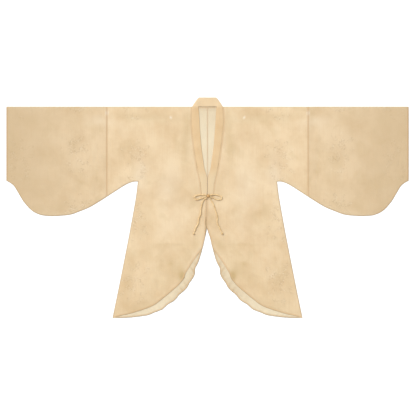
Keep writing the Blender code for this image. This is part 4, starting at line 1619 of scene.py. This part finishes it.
@dataclass
class Bow:
    """The two ties at the chest, bound in a bow: loops, tails and knots."""

    loop_right: tuple = (
        (13.2, 442.5, 2.6), (33.0, 439.0, 0.4), (53.0, 442.0, 0.0), (68.0, 449.0, 0.0),
        (71.5, 456.5, 0.0), (65.5, 464.0, 0.0), (48.0, 464.0, 0.0), (31.0, 456.5, 0.4),
        (13.2, 450.5, 2.6),
    )
    loop_left: tuple = (
        (-6.2, 442.5, 2.6), (-20.0, 441.5, 0.8), (-37.0, 441.0, 0.0), (-56.0, 444.5, 0.0),
        (-66.5, 453.5, 0.0), (-61.5, 463.0, 0.0), (-52.0, 465.0, 0.0), (-36.0, 460.0, 0.0),
        (-20.0, 454.0, 0.8), (-6.2, 450.5, 2.6),
    )
    tail_right: tuple = (
        (8.6, 455.2, 1.6), (18.0, 467.0, 0.2), (33.0, 497.0, 0.0), (43.0, 531.0, 0.0),
        (49.0, 552.0, 0.0), (48.5, 581.0, 0.0), (58.0, 602.0, 0.0), (69.0, 625.0, 0.0),
    )
    tail_left: tuple = (
        (-2.4, 455.2, 1.6), (-20.0, 467.0, 0.2), (-31.0, 501.0, 0.0), (-36.0, 541.0, 0.0),
        (-43.5, 559.0, 0.0), (-47.0, 584.0, 0.0), (-57.0, 602.0, 0.0), (-66.0, 625.0, 0.0),
    )
    knot_at: tuple = (3.5, 446.0)
    end_right: tuple = (72.8, 632.6)
    end_left: tuple = (-69.4, 632.8)

    def build(self, strand: bpy.types.Material, knotted: bpy.types.Material) -> None:
        """Make the bow and say which nodes its pieces stand for.

        Args:
            strand: Finish of the loops and tails and of the knots at their ends.
            knotted: Finish of the knot in the middle, painted darker with its shade.
        """
        knot = Knot("knot_of_bow", self.knot_at, (17.0, 15.0, 8.5), 3.4, 0.15).build(knotted)
        dress(knot, "tie_silk", "bow_knot")
        ends = {}
        for name, place, turn in (("right", self.end_right, -1.1), ("left", self.end_left, 1.1)):
            made = Knot(f"tail_knot_{name}", place, (11.5, 10.0, 7.5), 2.7, turn, 1.8)
            ends[name] = made.build(strand)
            dress(ends[name], "tie_silk", f"end_knot_{name}")
        for side, route in (("right", self.loop_right), ("left", self.loop_left)):
            tie = Tie(f"loop_{side}", route)
            piece = tie.build(strand)
            dress(piece, "tie_silk", f"tie_loop_{side}")
        for side, route in (("right", self.tail_right), ("left", self.tail_left)):
            tie = Tie(f"tail_{side}", route)
            piece = tie.build(strand)
            dress(piece, "tie_silk", f"tie_tail_{side}")


def dress(piece: bpy.types.Object, slot: str, *nodes: str) -> None:
    """Fix a piece to the body, hide the nodes that it stands for and name them.

    Args:
        piece: The finished piece.
        slot: Material slot of the record; not used.
        nodes: Nodes that it replaces.
    """
    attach(piece, "root")
    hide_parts(*nodes)
    LOG.info("%s stands for %s", piece.name, ", ".join(nodes))


@dataclass
class Studio:
    """White board, soft light from above, and a camera straight over the jacket."""

    view_width: float = 2.08
    lens: float = 180.0
    sensor: float = 36.0
    look_at: tuple = (0.0025, -0.0014)
    board: float = 60.0
    lamp: float = 2.8
    sky: float = 0.78

    def camera(self) -> bpy.types.Object:
        """Camera that looks straight down, with the collar at the top of the picture."""
        data = bpy.data.cameras.new("camera_above")
        data.lens, data.sensor_width = self.lens, self.sensor
        data.clip_start, data.clip_end = 0.1, 200.0
        thing = bpy.data.objects.new("camera_above", data)
        bpy.context.scene.collection.objects.link(thing)
        thing.location = (*self.look_at, self.view_width * self.lens / self.sensor)
        bpy.context.scene.camera = thing
        return thing

    def lights(self) -> None:
        """Soft light from the upper left, the same all over, and an even pale sky."""
        lamp = bpy.data.lights.new("soft_lamp", "SUN")
        lamp.energy, lamp.angle = self.lamp, math.radians(24)
        thing = bpy.data.objects.new("soft_lamp", lamp)
        bpy.context.scene.collection.objects.link(thing)
        thing.location = (-2.2, 2.4, 2.6)
        thing.rotation_euler = (-thing.location).to_track_quat("-Z", "Y").to_euler()
        sky = bpy.data.worlds.new("even_sky")
        sky.use_nodes = True
        ground = sky.node_tree.nodes["Background"]
        ground.inputs["Color"].default_value = (1.0, 1.0, 1.0, 1.0)
        ground.inputs["Strength"].default_value = self.sky
        bpy.context.scene.world = sky

    def floor(self, finish: bpy.types.Material) -> bpy.types.Object:
        """The board under the jacket."""
        bpy.ops.object.select_all(action="DESELECT")
        bpy.ops.mesh.primitive_plane_add(size=self.board, location=(0.0, 0.0, 0.0))
        thing = bpy.context.object
        thing.name = "white_board"
        thing.data.materials.append(finish)
        return thing


def main() -> None:
    """Build the jacket, piece by piece."""
    logging.basicConfig(level=logging.INFO, format="%(name)s: %(message)s")
    bpy.context.scene.view_settings.view_transform = "Standard"
    studio = Studio()
    studio.camera()
    strand = TieSilk("tie_silk_strand", "F1D7A6", "DCBC88").build()
    # The knot's finish is the strand's silk painted darker, for its tighter turns and with
    # painted shade between them
    knotted = TieSilk("tie_silk_knotted", "D8AE76", "BC935B").build()
    Bow().build(strand, knotted)
    studio.lights()
    studio.floor(WhiteBoard().build())

    body_silk = SilkGauze("silk_gauze_body", pale="F8E6C5", deep="E4C89B", figure="C9B087",
                          turned="DDBD90", edge="A8895C").build()
    sleeve_silk = SilkGauze("silk_gauze_sleeve", pale="F4E1C0", deep="E0C69B",
                            figure="BFA67C", turned="D3B184", edge="AE895D").build()
    for side, word in ((1, "right"), (-1, "left")):
        body = Body(side=side).build(body_silk)
        dress(body, "body_silk", f"body_{word}")
        sleeve = Sleeve(side=side).build(sleeve_silk)
        dress(sleeve, "sleeve_silk", f"sleeve_{word}")
    band = Collar().build(BandSilk().build())
    dress(band, "collar_silk", "collar")


if __name__ == "__main__":
    main()
